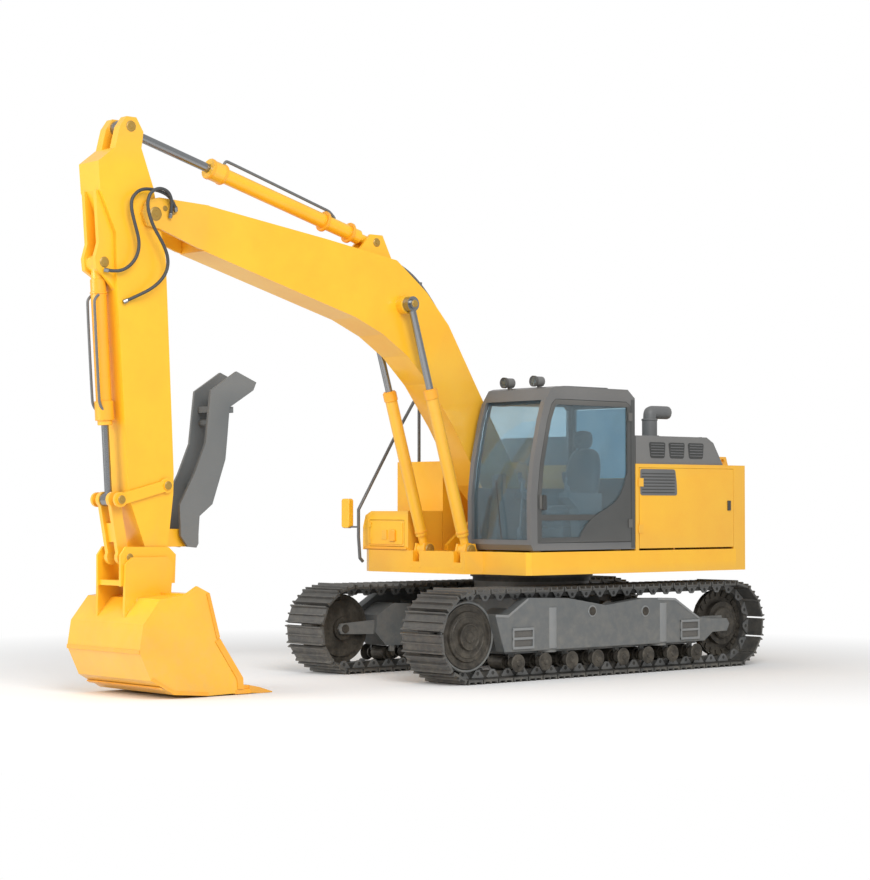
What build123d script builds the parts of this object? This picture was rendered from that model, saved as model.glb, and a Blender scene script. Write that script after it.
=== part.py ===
"""Crawler excavator: undercarriage, revolving house, and boom, stick and bucket.

All sizes are in millimetres. X points forward along the boom, Y to the
machine's left (the cab side) and Z up. The model is drawn around the swing
axis with the ground at Z = 0, and every sub-part is moved by the same shift at
the end, so that the machine stands with its box centred on the origin.
"""
import math
import os

from build123d import *

os.makedirs("parts", exist_ok=True)

# Undercarriage
track_gauge = 1900.0        # between the centre lines of the tracks
shoe_width = 610.0
track_height = 950.0
grouser_height = 25.0
shoe_thickness = 20.0
chain_thickness = 60.0
chain_width = 180.0
shoe_count = 51
straight_shoes = 19         # shoes between the centres of idler and sprocket
shoe_gap = 14.0
wheel_clearance = 0.3
bottom_roller_count = 8
bottom_roller_pitch = 386.0
bottom_roller_radius = 80.0
top_roller_radius = 60.0
frame_half_width = 170.0

# House
house_half_width = 1232.0
deck_bottom = 1075.0
deck_top = 1312.0
side_panel_top = 2245.0
hood_top = 2550.0
tail_corner_x = -2150.0
tail_end_x = -2700.0
counterweight_front_x = -1995.0
bearing_radius = 650.0
deck_front_x = 1400.0

# Cab
cab_rear_x = -360.0
cab_front_x = 1180.0
cab_right_y = 270.0
cab_left_y = 1232.0
cab_bottom = 1330.0
cab_roof = 3036.0
cab_wall = 40.0

# Boom, stick and bucket: pin places in the side view (X, Z)
boom_foot = (350.0, 1720.0)
boom_nose = (5120.0, 4560.0)
boom_eye = (2040.0, 3880.0)
boom_cylinder_foot = (1270.0, 1322.0)
stick_cylinder_foot = (2300.0, 4520.0)
stick_eye = (5380.0, 5370.0)
bucket_cylinder_foot = (5640.0, 4070.0)
rocker_pin = (4980.0, 1985.0)
cross_pin = (5500.0, 1850.0)
link_pin = (5400.0, 1310.0)
bucket_pin = (5060.0, 1270.0)
thumb_pin = (4634.0, 1487.0)

boom_half_width = 200.0
boom_plate = 14.0
fork_inner = 176.0
fork_outer = 204.0
stick_half_width = 170.0
stick_plate = 12.0
boom_cylinder_y = 330.0
barrel_radius = 65.0
rod_radius = 38.0
eye_radius = 78.0
eye_half_width = 42.0
pin_radius = 38.0
running_gap = 0.3
bucket_half_width = 620.0
bucket_plate = 30.0

wheel_z = track_height / 2
chain_outer = wheel_z - grouser_height - shoe_thickness
shoe_pitch = 2 * math.pi * chain_outer / (shoe_count - 2 * straight_shoes)
wheel_base = straight_shoes * shoe_pitch
half_base = wheel_base / 2
chain_inner = chain_outer - chain_thickness
wheel_radius = chain_inner - wheel_clearance
roller_z = wheel_z - chain_inner + bottom_roller_radius + wheel_clearance
top_roller_z = wheel_z + chain_inner - top_roller_radius - wheel_clearance


def side_prism(outline, y_low, y_high):
    """A plate whose side view (X, Z) is the outline, from y_low to y_high."""
    with BuildPart() as piece:
        with BuildSketch(Plane.XZ.offset(-y_high)):
            with BuildLine():
                Polyline(*outline, close=True)
            make_face()
        extrude(amount=y_high - y_low)
    return piece.part


def deck_prism(outline, z_low, z_high):
    """A block whose plan view (X, Y) is the outline."""
    with BuildPart() as piece:
        with BuildSketch(Plane.XY.offset(z_low)):
            with BuildLine():
                Polyline(*outline, close=True)
            make_face()
        extrude(amount=z_high - z_low)
    return piece.part


def front_prism(outline, x_low, x_high):
    """A block whose front view (Y, Z) is the outline."""
    with BuildPart() as piece:
        with BuildSketch(Plane.YZ.offset(x_low)):
            with BuildLine():
                Polyline(*outline, close=True)
            make_face()
        extrude(amount=x_high - x_low)
    return piece.part


def block(x_low, x_high, y_low, y_high, z_low, z_high):
    """An upright box between two corners."""
    return Pos(x_low, y_low, z_low) * Solid.make_box(
        x_high - x_low, y_high - y_low, z_high - z_low)


def bar(start, end, radius):
    """A round bar between two points."""
    line = Vector(*end) - Vector(*start)
    return Solid.make_cylinder(radius, line.length,
                               Plane(origin=start, z_dir=line.normalized()))


def cross_bar(pin, radius, y_low, y_high):
    """A round bar across the machine through a pin place (X, Z)."""
    return bar((pin[0], y_low, pin[1]), (pin[0], y_high, pin[1]), radius)


def between(start, end, distance):
    """The point of the side view this far from start towards end."""
    length = math.dist(start, end)
    return (start[0] + (end[0] - start[0]) * distance / length,
            start[1] + (end[1] - start[1]) * distance / length)


def axial(start, end, near, far, radius, y=0.0):
    """A round bar along the line from one pin to another, in the plane of y."""
    low, high = between(start, end, near), between(start, end, far)
    return bar((low[0], y, low[1]), (high[0], y, high[1]), radius)


def axial_block(start, end, near, far, half_height, y_low, y_high):
    """A square bar along the line from one pin to another."""
    length = math.dist(start, end)
    ux, uz = (end[0] - start[0]) / length, (end[1] - start[1]) / length
    low, high = between(start, end, near), between(start, end, far)
    nx, nz = -uz * half_height, ux * half_height
    return side_prism([(low[0] + nx, low[1] + nz), (high[0] + nx, high[1] + nz),
                       (high[0] - nx, high[1] - nz), (low[0] - nx, low[1] - nz)],
                      y_low, y_high)


pieces = []
sides = (("left", 1), ("right", -1))

# Undercarriage
with BuildPart() as car_body:
    with Locations((0, 0, 800)):
        Cylinder(bearing_radius - 20, 175, align=(Align.CENTER, Align.CENTER, Align.MIN))
    add(deck_prism([(-560, -500), (560, -500), (560, 500), (-560, 500)], 470, 800))
    frame_face = track_gauge / 2 - frame_half_width
    for sx in (1, -1):
        for sy in (1, -1):
            add(deck_prism([(sx * 320, sy * 480), (sx * 540, sy * 230), (sx * 940, sy * 640),
                            (sx * 940, sy * frame_face), (sx * 500, sy * frame_face)],
                           480, 690))
        add(deck_prism([(sx * 555, -90), (sx * 555, 90), (sx * 700, 60), (sx * 700, -60)],
                       550, 600))
        add(bar((sx * 650, 0, 500), (sx * 650, 0, 650), 32), mode=Mode.SUBTRACT)
pieces.append((car_body, "car_body"))

frame_outline = [(1585, 420), (1560, 610), (1330, 735), (760, 700), (560, 640),
                 (240, 640), (60, 700), (-290, 700), (-340, 640), (-600, 640),
                 (-680, 700), (-1100, 700), (-1400, 560), (-1560, 560),
                 (-1560, 400), (-1440, 275), (1440, 275)]

for side, sign in sides:
    middle = sign * track_gauge / 2

    def across(near, far):
        """The two ends of a span about this track's centre line, low end first."""
        return (min(middle + sign * near, middle + sign * far),
                max(middle + sign * near, middle + sign * far))

    with BuildPart() as track_frame:
        add(side_prism(frame_outline, *across(-frame_half_width, frame_half_width)))
        for place in range(bottom_roller_count):
            x = (place - (bottom_roller_count - 1) / 2) * bottom_roller_pitch
            for y_near, y_far in ((-166, -142), (142, 166)):
                add(block(x - 32, x + 32, *across(y_near, y_far),
                          roller_z + 26 + running_gap, 280))
        for x in (400, -450):
            for y_near, y_far in ((-130, -100), (100, 130)):
                add(block(x - 40, x + 40, *across(y_near, y_far),
                          640, top_roller_z - 22 - running_gap))
        for y_near, y_far in ((-128, -102), (102, 128)):
            yoke = [(1500, 400), (1500, 560), (half_base + 60, 530),
                    (half_base + 90, 475), (half_base + 60, 420)]
            add(side_prism(yoke, *across(y_near, y_far)))
            add(cross_bar((half_base, wheel_z), 45 + running_gap,
                          *across(y_near - 5, y_far + 5)), mode=Mode.SUBTRACT)
        for x in (880, -790):
            add(Pos(x, middle + sign * 165, 280) * Solid.make_cylinder(120, 425))
        add(side_prism([(-1555, 395), (-1555, 565), (-1880, 565), (-1880, 395)],
                       *across(120, 165)))
        motor = (-half_base, wheel_z)
        add(cross_bar(motor, 190, *across(-210, -70 - running_gap)))
        add(block(-half_base, -1500, *across(-210, -110), 395, 560))
        for x in (1400, -1290):
            for z in (330, 400, 470):
                add(block(x - 130, x + 130, *across(165, 185), z, z + 22))
    pieces.append((track_frame, f"track_frame_{side}"))

    with BuildPart() as idler:
        add(cross_bar((half_base, wheel_z), wheel_radius, middle - 40, middle + 40))
        add(cross_bar((half_base, wheel_z), wheel_radius - 70, middle - 60, middle + 60))
        add(cross_bar((half_base, wheel_z), 120, middle - 95, middle + 95))
        add(cross_bar((half_base, wheel_z), 45, middle - 140, middle + 140))
    pieces.append((idler, f"idler_{side}"))

    with BuildPart() as sprocket:
        add(cross_bar((-half_base, wheel_z), wheel_radius, middle - 30, middle + 30))
        add(cross_bar((-half_base, wheel_z), 240, *across(-70, 90)))
        add(cross_bar((-half_base, wheel_z), 180, *across(80, 115)))
    pieces.append((sprocket, f"sprocket_{side}"))

    with BuildPart() as rollers:
        for place in range(bottom_roller_count):
            x = (place - (bottom_roller_count - 1) / 2) * bottom_roller_pitch
            add(cross_bar((x, roller_z), bottom_roller_radius, middle - 100, middle + 100))
            add(cross_bar((x, roller_z), 55, middle - 135, middle + 135))
            add(cross_bar((x, roller_z), 26, middle - 180, middle + 180))
            add(cross_bar((x, roller_z), 62, *across(170, 190)))
        for x in (400, -450):
            add(cross_bar((x, top_roller_z), top_roller_radius, middle - 90, middle + 90))
            add(cross_bar((x, top_roller_z), 22, middle - 140, middle + 140))
    pieces.append((rollers, f"rollers_{side}"))

    with BuildPart() as track:
        with BuildSketch(Plane.XZ.offset(-(middle + chain_width / 2))):
            SlotCenterToCenter(wheel_base, 2 * chain_outer)
            SlotCenterToCenter(wheel_base, 2 * chain_inner, mode=Mode.SUBTRACT)
        extrude(amount=chain_width)
        length = shoe_pitch - shoe_gap
        rib = 12
        profile = [(-length / 2, -3), (length / 2, -3),
                   (length / 2, shoe_thickness + grouser_height),
                   (length / 2 - rib, shoe_thickness + grouser_height),
                   (length / 2 - 2 * rib, shoe_thickness),
                   (rib, shoe_thickness), (rib / 2, shoe_thickness + grouser_height),
                   (-rib / 2, shoe_thickness + grouser_height), (-rib, shoe_thickness),
                   (2 * rib - length / 2, shoe_thickness),
                   (rib - length / 2, shoe_thickness + grouser_height),
                   (-length / 2, shoe_thickness + grouser_height)]
        shoes = []
        for number in range(shoe_count):
            along = (number + 0.5) * shoe_pitch
            if along < wheel_base:
                place, turn = (along - half_base, chain_outer), 0.0
            elif along < wheel_base + math.pi * chain_outer:
                turn = (along - wheel_base) / chain_outer
                place = (half_base + chain_outer * math.sin(turn),
                         chain_outer * math.cos(turn))
            elif along < 2 * wheel_base + math.pi * chain_outer:
                turn = math.pi
                place = (half_base - (along - wheel_base - math.pi * chain_outer),
                         -chain_outer)
            else:
                turn = math.pi + (along - 2 * wheel_base - math.pi * chain_outer) / chain_outer
                place = (-half_base + chain_outer * math.sin(turn),
                         chain_outer * math.cos(turn))
            cosine, sine = math.cos(turn), math.sin(turn)
            shoes.append(side_prism(
                [(place[0] + u * cosine + w * sine,
                  wheel_z + place[1] - u * sine + w * cosine) for u, w in profile],
                middle - shoe_width / 2, middle + shoe_width / 2))
        # the sketch of the chain lies about Z = 0, so it is lifted before the shoes join it
    chain = Pos(0, 0, wheel_z) * track.part
    with BuildPart() as track:
        add(chain)
        add(shoes)
    pieces.append((track, f"track_{side}"))

with BuildPart() as swing_bearing:
    with Locations((0, 0, 975)):
        Cylinder(bearing_radius, 45, align=(Align.CENTER, Align.CENTER, Align.MIN))
    with Locations((0, 0, 1020)):
        Cylinder(bearing_radius + 25, deck_bottom - 1020 - running_gap,
                 align=(Align.CENTER, Align.CENTER, Align.MIN))
    with Locations((0, 0, 975)):
        Cylinder(bearing_radius - 180, 200, align=(Align.CENTER, Align.CENTER, Align.MIN),
                 mode=Mode.SUBTRACT)
pieces.append((swing_bearing, "swing_bearing"))

# House
with BuildPart() as main_frame:
    add(deck_prism([(counterweight_front_x, -house_half_width),
                    (counterweight_front_x, house_half_width),
                    (cab_front_x, house_half_width), (cab_front_x + 40, 1190),
                    (cab_front_x + 60, 560), (deck_front_x, 450),
                    (deck_front_x, -430), (deck_front_x + 20, -1100),
                    (deck_front_x - 60, -house_half_width)],
                   deck_bottom, deck_top))
    for x in (cab_rear_x + 150, cab_front_x - 200):
        for y in (cab_right_y + 150, cab_left_y - 150):
            add(Pos(x, y, deck_top - 5) * Solid.make_cylinder(
                60, cab_bottom - deck_top + 5 - running_gap))
    for y in (-boom_half_width - 62, boom_half_width + 12):
        add(side_prism([(-250, deck_top - 5), (1050, deck_top - 5), (1050, deck_top + 60),
                        (boom_foot[0] + 150, boom_foot[1] + 60),
                        (boom_foot[0], boom_foot[1] + 150),
                        (boom_foot[0] - 150, boom_foot[1] + 60)], y, y + 50))
    for sy in (1, -1):
        ends = sorted((sy * (boom_half_width + running_gap), sy * (boom_half_width + 20)))
        add(cross_bar(boom_foot, 110, ends[0], ends[1]))
        ends = sorted((sy * (boom_half_width + 55), sy * (boom_half_width + 66)))
        add(cross_bar(boom_foot, 50, ends[0], ends[1]))
    for sy in (1, -1):
        for offset in (-78, 52):
            y = sy * boom_cylinder_y + offset
            add(side_prism([(boom_cylinder_foot[0] - 130, deck_bottom + 60),
                            (deck_front_x + 4, deck_bottom + 60),
                            (deck_front_x - 60, boom_cylinder_foot[1] + 70),
                            (boom_cylinder_foot[0] - 60, boom_cylinder_foot[1] + 70)],
                           y, y + 26))
        add(block(boom_cylinder_foot[0] - 105, deck_front_x + 50,
                  sy * boom_cylinder_y - 52, sy * boom_cylinder_y + 52,
                  deck_bottom + 120, deck_top + 10), mode=Mode.SUBTRACT)
pieces.append((main_frame, "main_frame"))

with BuildPart() as counterweight:
    with BuildSketch(Plane.XY.offset(deck_bottom)):
        with BuildLine():
            Line((counterweight_front_x, house_half_width), (tail_corner_x, house_half_width))
            ThreePointArc((tail_corner_x, house_half_width), (tail_end_x, 0),
                          (tail_corner_x, -house_half_width))
            Line((tail_corner_x, -house_half_width), (counterweight_front_x, -house_half_width))
            Line((counterweight_front_x, -house_half_width),
                 (counterweight_front_x, house_half_width))
        make_face()
    extrude(amount=side_panel_top - deck_bottom)
    add(block(counterweight_front_x - 120, counterweight_front_x + 1, -1190, 1190,
              side_panel_top - 380, side_panel_top + 5), mode=Mode.SUBTRACT)
    for sy in (1, -1):
        y = sy * 700
        add(side_prism([(-2450, side_panel_top - 5), (-2250, side_panel_top - 5),
                        (-2290, side_panel_top + 110), (-2410, side_panel_top + 110)],
                       y - 25, y + 25))
        add(cross_bar((-2350, side_panel_top + 55), 30, y - 30, y + 30), mode=Mode.SUBTRACT)
pieces.append((counterweight, "counterweight"))


def cab_outline(inset):
    """Side view of the cab, drawn in by inset on every side."""
    return [(cab_rear_x + inset, cab_bottom + inset),
            (cab_front_x - 30 - inset * 0.6, cab_bottom + inset),
            (cab_front_x + 10 - inset, cab_bottom + 60 + inset * 0.5),
            (cab_front_x + 12 - inset, 1900),
            (cab_front_x - 30 - inset, 2250),
            (cab_front_x - 130 - inset, 2680),
            (cab_front_x - 190 - inset, 2870 - inset * 0.3),
            (cab_front_x - 290 - inset * 0.4, cab_roof - 20 - inset),
            (cab_front_x - 360, cab_roof - inset),
            (cab_rear_x + 110, cab_roof - inset),
            (cab_rear_x + inset, cab_roof - 90 - inset * 0.4)]


door_outline = [(cab_rear_x + 60, cab_bottom + 75), (cab_front_x - 90, cab_bottom + 75),
                (cab_front_x - 85, 1900), (cab_front_x - 125, 2240),
                (cab_front_x - 225, 2670), (cab_front_x - 290, 2850),
                (cab_front_x - 350, 2905), (cab_rear_x + 130, 2905),
                (cab_rear_x + 60, 2860)]

with BuildPart() as cab_shell:
    add(side_prism(cab_outline(0), cab_right_y, cab_left_y))
    add(side_prism(cab_outline(cab_wall), cab_right_y + cab_wall, cab_left_y - cab_wall),
        mode=Mode.SUBTRACT)
    add(side_prism(door_outline, cab_left_y - cab_wall - 5, cab_left_y + 5),
        mode=Mode.SUBTRACT)
    right_window = [(cab_rear_x + 90, 1980), (cab_front_x - 110, 1980),
                    (cab_front_x - 150, 2240), (cab_front_x - 250, 2670),
                    (cab_front_x - 310, 2860), (cab_rear_x + 130, 2880),
                    (cab_rear_x + 90, 2840)]
    add(side_prism(right_window, cab_right_y - 5, cab_right_y + cab_wall + 5),
        mode=Mode.SUBTRACT)
    add(front_prism([(cab_right_y + 60, 1440), (cab_left_y - 60, 1440),
                     (cab_left_y - 60, 2890), (cab_right_y + 60, 2890)],
                    cab_front_x - 330, cab_front_x + 20), mode=Mode.SUBTRACT)
    add(front_prism([(cab_right_y + 90, 2080), (cab_left_y - 90, 2080),
                     (cab_left_y - 90, 2850), (cab_right_y + 90, 2850)],
                    cab_rear_x - 5, cab_rear_x + cab_wall + 5), mode=Mode.SUBTRACT)
pieces.append((cab_shell, "cab_shell"))

with BuildPart() as cab_glass:
    pane = [(cab_front_x - 30, 1440.3), (cab_front_x - 30, 1900), (cab_front_x - 70, 2240),
            (cab_front_x - 168, 2670), (cab_front_x - 225, 2840), (cab_front_x - 247, 2889.7),
            (cab_front_x - 259, 2889.7), (cab_front_x - 234, 2838), (cab_front_x - 176, 2668),
            (cab_front_x - 78, 2238), (cab_front_x - 38, 1899), (cab_front_x - 38, 1440.3)]
    add(side_prism(pane, cab_right_y + 60.3, cab_left_y - 60.3))
    inner_window = [(cab_rear_x + 90.3, 1980.3), (cab_front_x - 110.4, 1980.3),
                    (cab_front_x - 150.4, 2239.8), (cab_front_x - 250.4, 2669.8),
                    (cab_front_x - 310.3, 2859.6), (cab_rear_x + 130.1, 2879.6),
                    (cab_rear_x + 90.3, 2839.8)]
    add(side_prism(inner_window, cab_right_y + 16, cab_right_y + 22))
    add(front_prism([(cab_right_y + 90.3, 2080.3), (cab_left_y - 90.3, 2080.3),
                     (cab_left_y - 90.3, 2849.7), (cab_right_y + 90.3, 2849.7)],
                    cab_rear_x + 16, cab_rear_x + 22))
pieces.append((cab_glass, "cab_glass"))


def door_inset(inset):
    """Side view of the door, drawn in by inset from the door opening."""
    return [(cab_rear_x + 60 + inset, cab_bottom + 75 + inset),
            (cab_front_x - 90 - inset, cab_bottom + 75 + inset),
            (cab_front_x - 85 - inset, 1900), (cab_front_x - 125 - inset, 2240),
            (cab_front_x - 225 - inset, 2670), (cab_front_x - 290 - inset, 2850 - inset * 0.4),
            (cab_front_x - 350 - inset * 0.3, 2905 - inset), (cab_rear_x + 130, 2905 - inset),
            (cab_rear_x + 60 + inset, 2860 - inset * 0.4)]


door_y = cab_left_y - cab_wall
with BuildPart() as cab_door:
    add(side_prism(door_inset(5), door_y + 8, cab_left_y))
    add(side_prism(door_inset(58), door_y, cab_left_y + 8), mode=Mode.SUBTRACT)
    add(block(cab_rear_x + 100, cab_front_x - 130, door_y + 12, cab_left_y - 4, 1640, 1700))
    for z in (1560, 2700):
        add(bar((cab_rear_x + 56, cab_left_y + 7.3, z), (cab_rear_x + 56, cab_left_y + 7.3, z + 90), 7))
        add(block(cab_rear_x + 56, cab_rear_x + 110, cab_left_y + 2, cab_left_y + 12, z, z + 90))
        add(block(cab_rear_x + 67, cab_rear_x + 110, cab_left_y - 8, cab_left_y + 12, z, z + 90))
    add(block(cab_front_x - 145, cab_front_x - 105, cab_left_y - 4, cab_left_y + 12, 1760, 1900))
pieces.append((cab_door, "cab_door"))

with BuildPart() as door_glass:
    add(side_prism(door_inset(58.3), door_y + 18, door_y + 24))
    add(block(cab_rear_x + 90, cab_front_x - 120, door_y + 5, cab_left_y + 5, 1639.7, 1700.3),
        mode=Mode.SUBTRACT)
pieces.append((door_glass, "door_glass"))

seat_y = (cab_right_y + cab_left_y) / 2
floor_z = cab_bottom + cab_wall
with BuildPart() as operator_seat:
    add(block(30, 430, seat_y - 170, seat_y + 170, floor_z + running_gap, 1640))
    add(block(0, 520, seat_y - 240, seat_y + 240, 1640, 1780))
    add(side_prism([(0, 1760), (130, 1780), (20, 2420), (-90, 2400)],
                   seat_y - 230, seat_y + 230))
    add(side_prism([(-70, 2395), (10, 2410), (-10, 2600), (-90, 2580)],
                   seat_y - 130, seat_y + 130))
pieces.append((operator_seat, "operator_seat"))

with BuildPart() as cab_console:
    for y in (cab_right_y + cab_wall + 20, seat_y + 250):
        add(side_prism([(60, floor_z + running_gap), (360, floor_z + running_gap),
                        (420, 1760), (560, 1880), (560, 1930), (60, 1930)], y, y + 140))
    add(side_prism([(760, floor_z + running_gap), (960, floor_z + running_gap),
                    (900, 1850), (820, 1850)],
                   cab_right_y + cab_wall + 10, cab_right_y + cab_wall + 150))
    for y in (cab_right_y + cab_wall + 90, seat_y + 320):
        add(bar((500, y, 1900), (540, y, 2060), 16))
        add(Pos(540, y, 2075) * Solid.make_sphere(28, angle1=-90, angle2=90, angle3=360))
    add(front_prism([(cab_right_y + cab_wall + 15, 1845), (cab_right_y + cab_wall + 170, 1845),
                     (cab_right_y + cab_wall + 170, 2130), (cab_right_y + cab_wall + 15, 2130)],
                    835, 885))
pieces.append((cab_console, "cab_console"))

with BuildPart() as travel_levers:
    for y in (seat_y - 90, seat_y + 90):
        add(bar((800, y, floor_z + 20), (760, y, 1960), 14))
        add(bar((800, y, floor_z + running_gap), (800, y, floor_z + 60), 55))
        add(bar((762, y, 1940), (756, y, 2060), 24))
        add(block(820, 960, y - 45, y + 45, floor_z + running_gap, floor_z + 40))
        add(block(790, 830, y - 20, y + 20, floor_z + 10, floor_z + 30))
pieces.append((travel_levers, "travel_levers"))

with BuildPart() as work_lamps:
    for y in (cab_right_y + 230, cab_left_y - 280):
        add(bar((cab_front_x - 420, y, cab_roof + 62), (cab_front_x - 300, y, cab_roof + 62), 52))
        add(block(cab_front_x - 400, cab_front_x - 370, y - 20, y + 20,
                  cab_roof + running_gap, cab_roof + 20))
pieces.append((work_lamps, "work_lamps"))

# Engine bay
bay_front = cab_rear_x - 40
with BuildPart() as engine_bay:
    add(block(bay_front, bay_front + 30, -430, 1190, deck_top, side_panel_top))
    for y in (house_half_width - 42, -house_half_width):
        add(block(bay_front - 20, bay_front + 30, y, y + 42, deck_top, side_panel_top))
        add(block(counterweight_front_x, counterweight_front_x + 40, y, y + 42,
                  deck_top, side_panel_top))
        add(block(counterweight_front_x, bay_front + 30, y, y + 42,
                  side_panel_top - 40, side_panel_top))
    add(block(bay_front - 20, bay_front + 30, -1190, -430, deck_top, side_panel_top))
    add(block(-1030, -1010, -1190, 1190, deck_top, 1960))
pieces.append((engine_bay, "engine_bay"))

with BuildPart() as engine_block:
    add(block(-1900, -1150, -330, 330, deck_top + 80, 1900))
    add(block(-1850, -1200, -250, 250, 1900, 2100))
    add(block(-1750, -1300, -420, -320, 1500, 1850))
    for x in (-1850, -1250):
        for y in (-280, 220):
            add(block(x, x + 60, y, y + 60, deck_top, deck_top + 90))
    add(cross_bar((-1525, 1650), 260, 330, 420))
    add(block(-1900, -1150, 560, 700, deck_top, 2150))
    add(bar((-1525, 420, 1650), (-1525, 570, 1650), 60))
    add(bar((-1050, -150, 2180), (-1050, 150, 2180), 110))
    add(block(-1220, -1140, -60, 60, 1900, 2150))
    add(block(-1150, -1040, -60, 60, 2080, 2150))
pieces.append((engine_block, "engine_block"))

for side, sign in sides:
    with BuildPart() as service_door:
        near, far = sorted((sign * (house_half_width - 32), sign * house_half_width))
        add(block(counterweight_front_x + 44, bay_front - 28, near, far,
                  deck_top + 22, side_panel_top - 44))
        for z in (1500, 2000):
            low, high = sorted((sign * (house_half_width - 8), sign * (house_half_width + 12)))
            add(block(bay_front - 80, bay_front - 32, low, high, z, z + 90))
            add(bar((bay_front - 12, sign * (house_half_width + 7.3), z),
                    (bay_front - 12, sign * (house_half_width + 7.3), z + 90), 7))
            low, high = sorted((sign * (house_half_width + 3), sign * (house_half_width + 12)))
            add(block(bay_front - 80, bay_front - 12, low, high, z, z + 90))
    pieces.append((service_door, f"service_door_{side}"))

with BuildPart() as engine_hood:
    add(side_prism([(cab_rear_x - 30, side_panel_top + running_gap), (cab_rear_x - 30, hood_top),
                    (-1530, hood_top), (-1640, hood_top - 60), (-1800, side_panel_top + running_gap)],
                   -1190, 1215))
    add(side_prism([(cab_rear_x - 60, side_panel_top), (cab_rear_x - 60, hood_top - 30),
                    (-1520, hood_top - 40), (-1620, hood_top - 80), (-1755, side_panel_top)],
                   -1160, 1185), mode=Mode.SUBTRACT)
    add(block(-1052, -1020, -40, 40, hood_top - 60, hood_top - 20))
    for y in (-700, 620):
        add(cross_bar((-1800, side_panel_top + 14), 12, y, y + 80))
pieces.append((engine_hood, "engine_hood"))

with BuildPart() as exhaust_pipe:
    x, y = -1050.0, 800.0
    add(Pos(x, y, hood_top + running_gap) * Solid.make_cylinder(75, 230))
    add(Pos(x, y, hood_top + 200) * Solid.make_cylinder(60, 90))
    add(Pos(x, y, hood_top + 285) * Solid.make_sphere(60, angle1=-90, angle2=90, angle3=360))
    add(bar((x, y, hood_top + 285), (x - 240, y, hood_top + 370), 58))
pieces.append((exhaust_pipe, "exhaust_pipe"))

# Right side
with BuildPart() as fuel_tank:
    add(block(bay_front + 35, 900, -1225, -460, deck_top, 2280))
    with Locations((500, -840, 2280)):
        Cylinder(70, 30, align=(Align.CENTER, Align.CENTER, Align.MIN))
pieces.append((fuel_tank, "fuel_tank"))

with BuildPart() as tool_box:
    add(front_prism([(-1225, deck_top), (-460, deck_top), (-460, 1735), (-1080, 1735),
                     (-1180, 1690), (-1225, 1560)], 905, deck_front_x))
    add(block(960, deck_front_x + 10, -1110, -520, 1350, 1640), mode=Mode.SUBTRACT)
pieces.append((tool_box, "tool_box"))

with BuildPart() as tool_box_door:
    add(block(deck_front_x - 24, deck_front_x, -1105, -525, 1355, 1635))
    add(block(deck_front_x - 2, deck_front_x + 18, -880, -800, 1430, 1530))
    for z in (1380, 1560):
        add(bar((deck_front_x + 7.3, -1110, z), (deck_front_x + 7.3, -1110, z + 50), 7))
        add(block(deck_front_x - 2, deck_front_x + 12, -1098, -1070, z, z + 50))
        add(block(deck_front_x + 4, deck_front_x + 12, -1110, -1070, z, z + 50))
pieces.append((tool_box_door, "tool_box_door"))

with BuildPart() as handrail:
    rail_y = -1180.0
    route = [(deck_front_x + 20 + 18.3, rail_y, 1180), (deck_front_x + 80, rail_y, 1220),
             (deck_front_x + 100, rail_y, 1450), (deck_front_x + 100, rail_y, 1750),
             (980, rail_y, 2560), (700, rail_y, 2960), (620, rail_y, 2960),
             (620, rail_y, 2280.3)]
    for start, end in zip(route, route[1:]):
        add(bar(start, end, 18))
        if end != route[-1]:
            add(Pos(*end) * Solid.make_sphere(18, angle1=-90, angle2=90, angle3=360))
pieces.append((handrail, "handrail"))

with BuildPart() as mirror:
    arm_x, arm_z = deck_front_x + 100, 1560.0
    add(bar((arm_x, rail_y - 18 - running_gap, arm_z), (arm_x, rail_y - 240, arm_z), 10))
    add(block(arm_x - 15, arm_x + 15, rail_y - 240, rail_y - 150, arm_z - 15, arm_z + 290))
pieces.append((mirror, "mirror"))

# Boom
boom_outline = [(240, 1610), (480, 1570), (935, 2010), (1337, 2635), (1674, 3072),
                (1977, 3355), (2300, 3560), (2660, 3714), (4560, 4250),
                (4560, 4700), (3049, 4487), (2117, 4339), (1706, 4030), (1399, 3700),
                (999, 3059), (600, 2430), (220, 1850)]
with BuildPart() as boom:
    add(side_prism(boom_outline, -boom_half_width, boom_half_width))
    inner = [(700, 1990), (935, 2130), (1337, 2745), (1674, 3180), (1977, 3455), (2300, 3640),
             (2660, 3790), (4480, 4310), (4480, 4610), (3049, 4400), (2160, 4250), (1780, 3960),
             (1490, 3660), (1090, 3030), (700, 2400)]
    add(side_prism(inner, -boom_half_width + boom_plate, boom_half_width - boom_plate),
        mode=Mode.SUBTRACT)
    add(cross_bar(boom_foot, 120, -boom_half_width, boom_half_width))
    fork = [(4500, 4245), (4620, 4270), (5060, 4420), (5220, 4440), (5270, 4560), (5220, 4680),
            (5080, 4720), (4500, 4695)]
    for y in (-fork_outer, fork_inner):
        add(side_prism(fork, y, y + fork_outer - fork_inner))
        add(cross_bar(boom_nose, 130, y, y + fork_outer - fork_inner))
    for sy in (1, -1):
        ends = sorted((sy * (boom_half_width - 20), sy * (boom_cylinder_y - eye_half_width
                                                         - running_gap)))
        add(cross_bar(boom_eye, 95, ends[0], ends[1]))
    for y in (-88, 58):
        add(side_prism([(2060, 4290), (2560, 4400), (2380, 4600), (2220, 4600)], y, y + 30))
pieces.append((boom, "boom"))

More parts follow.
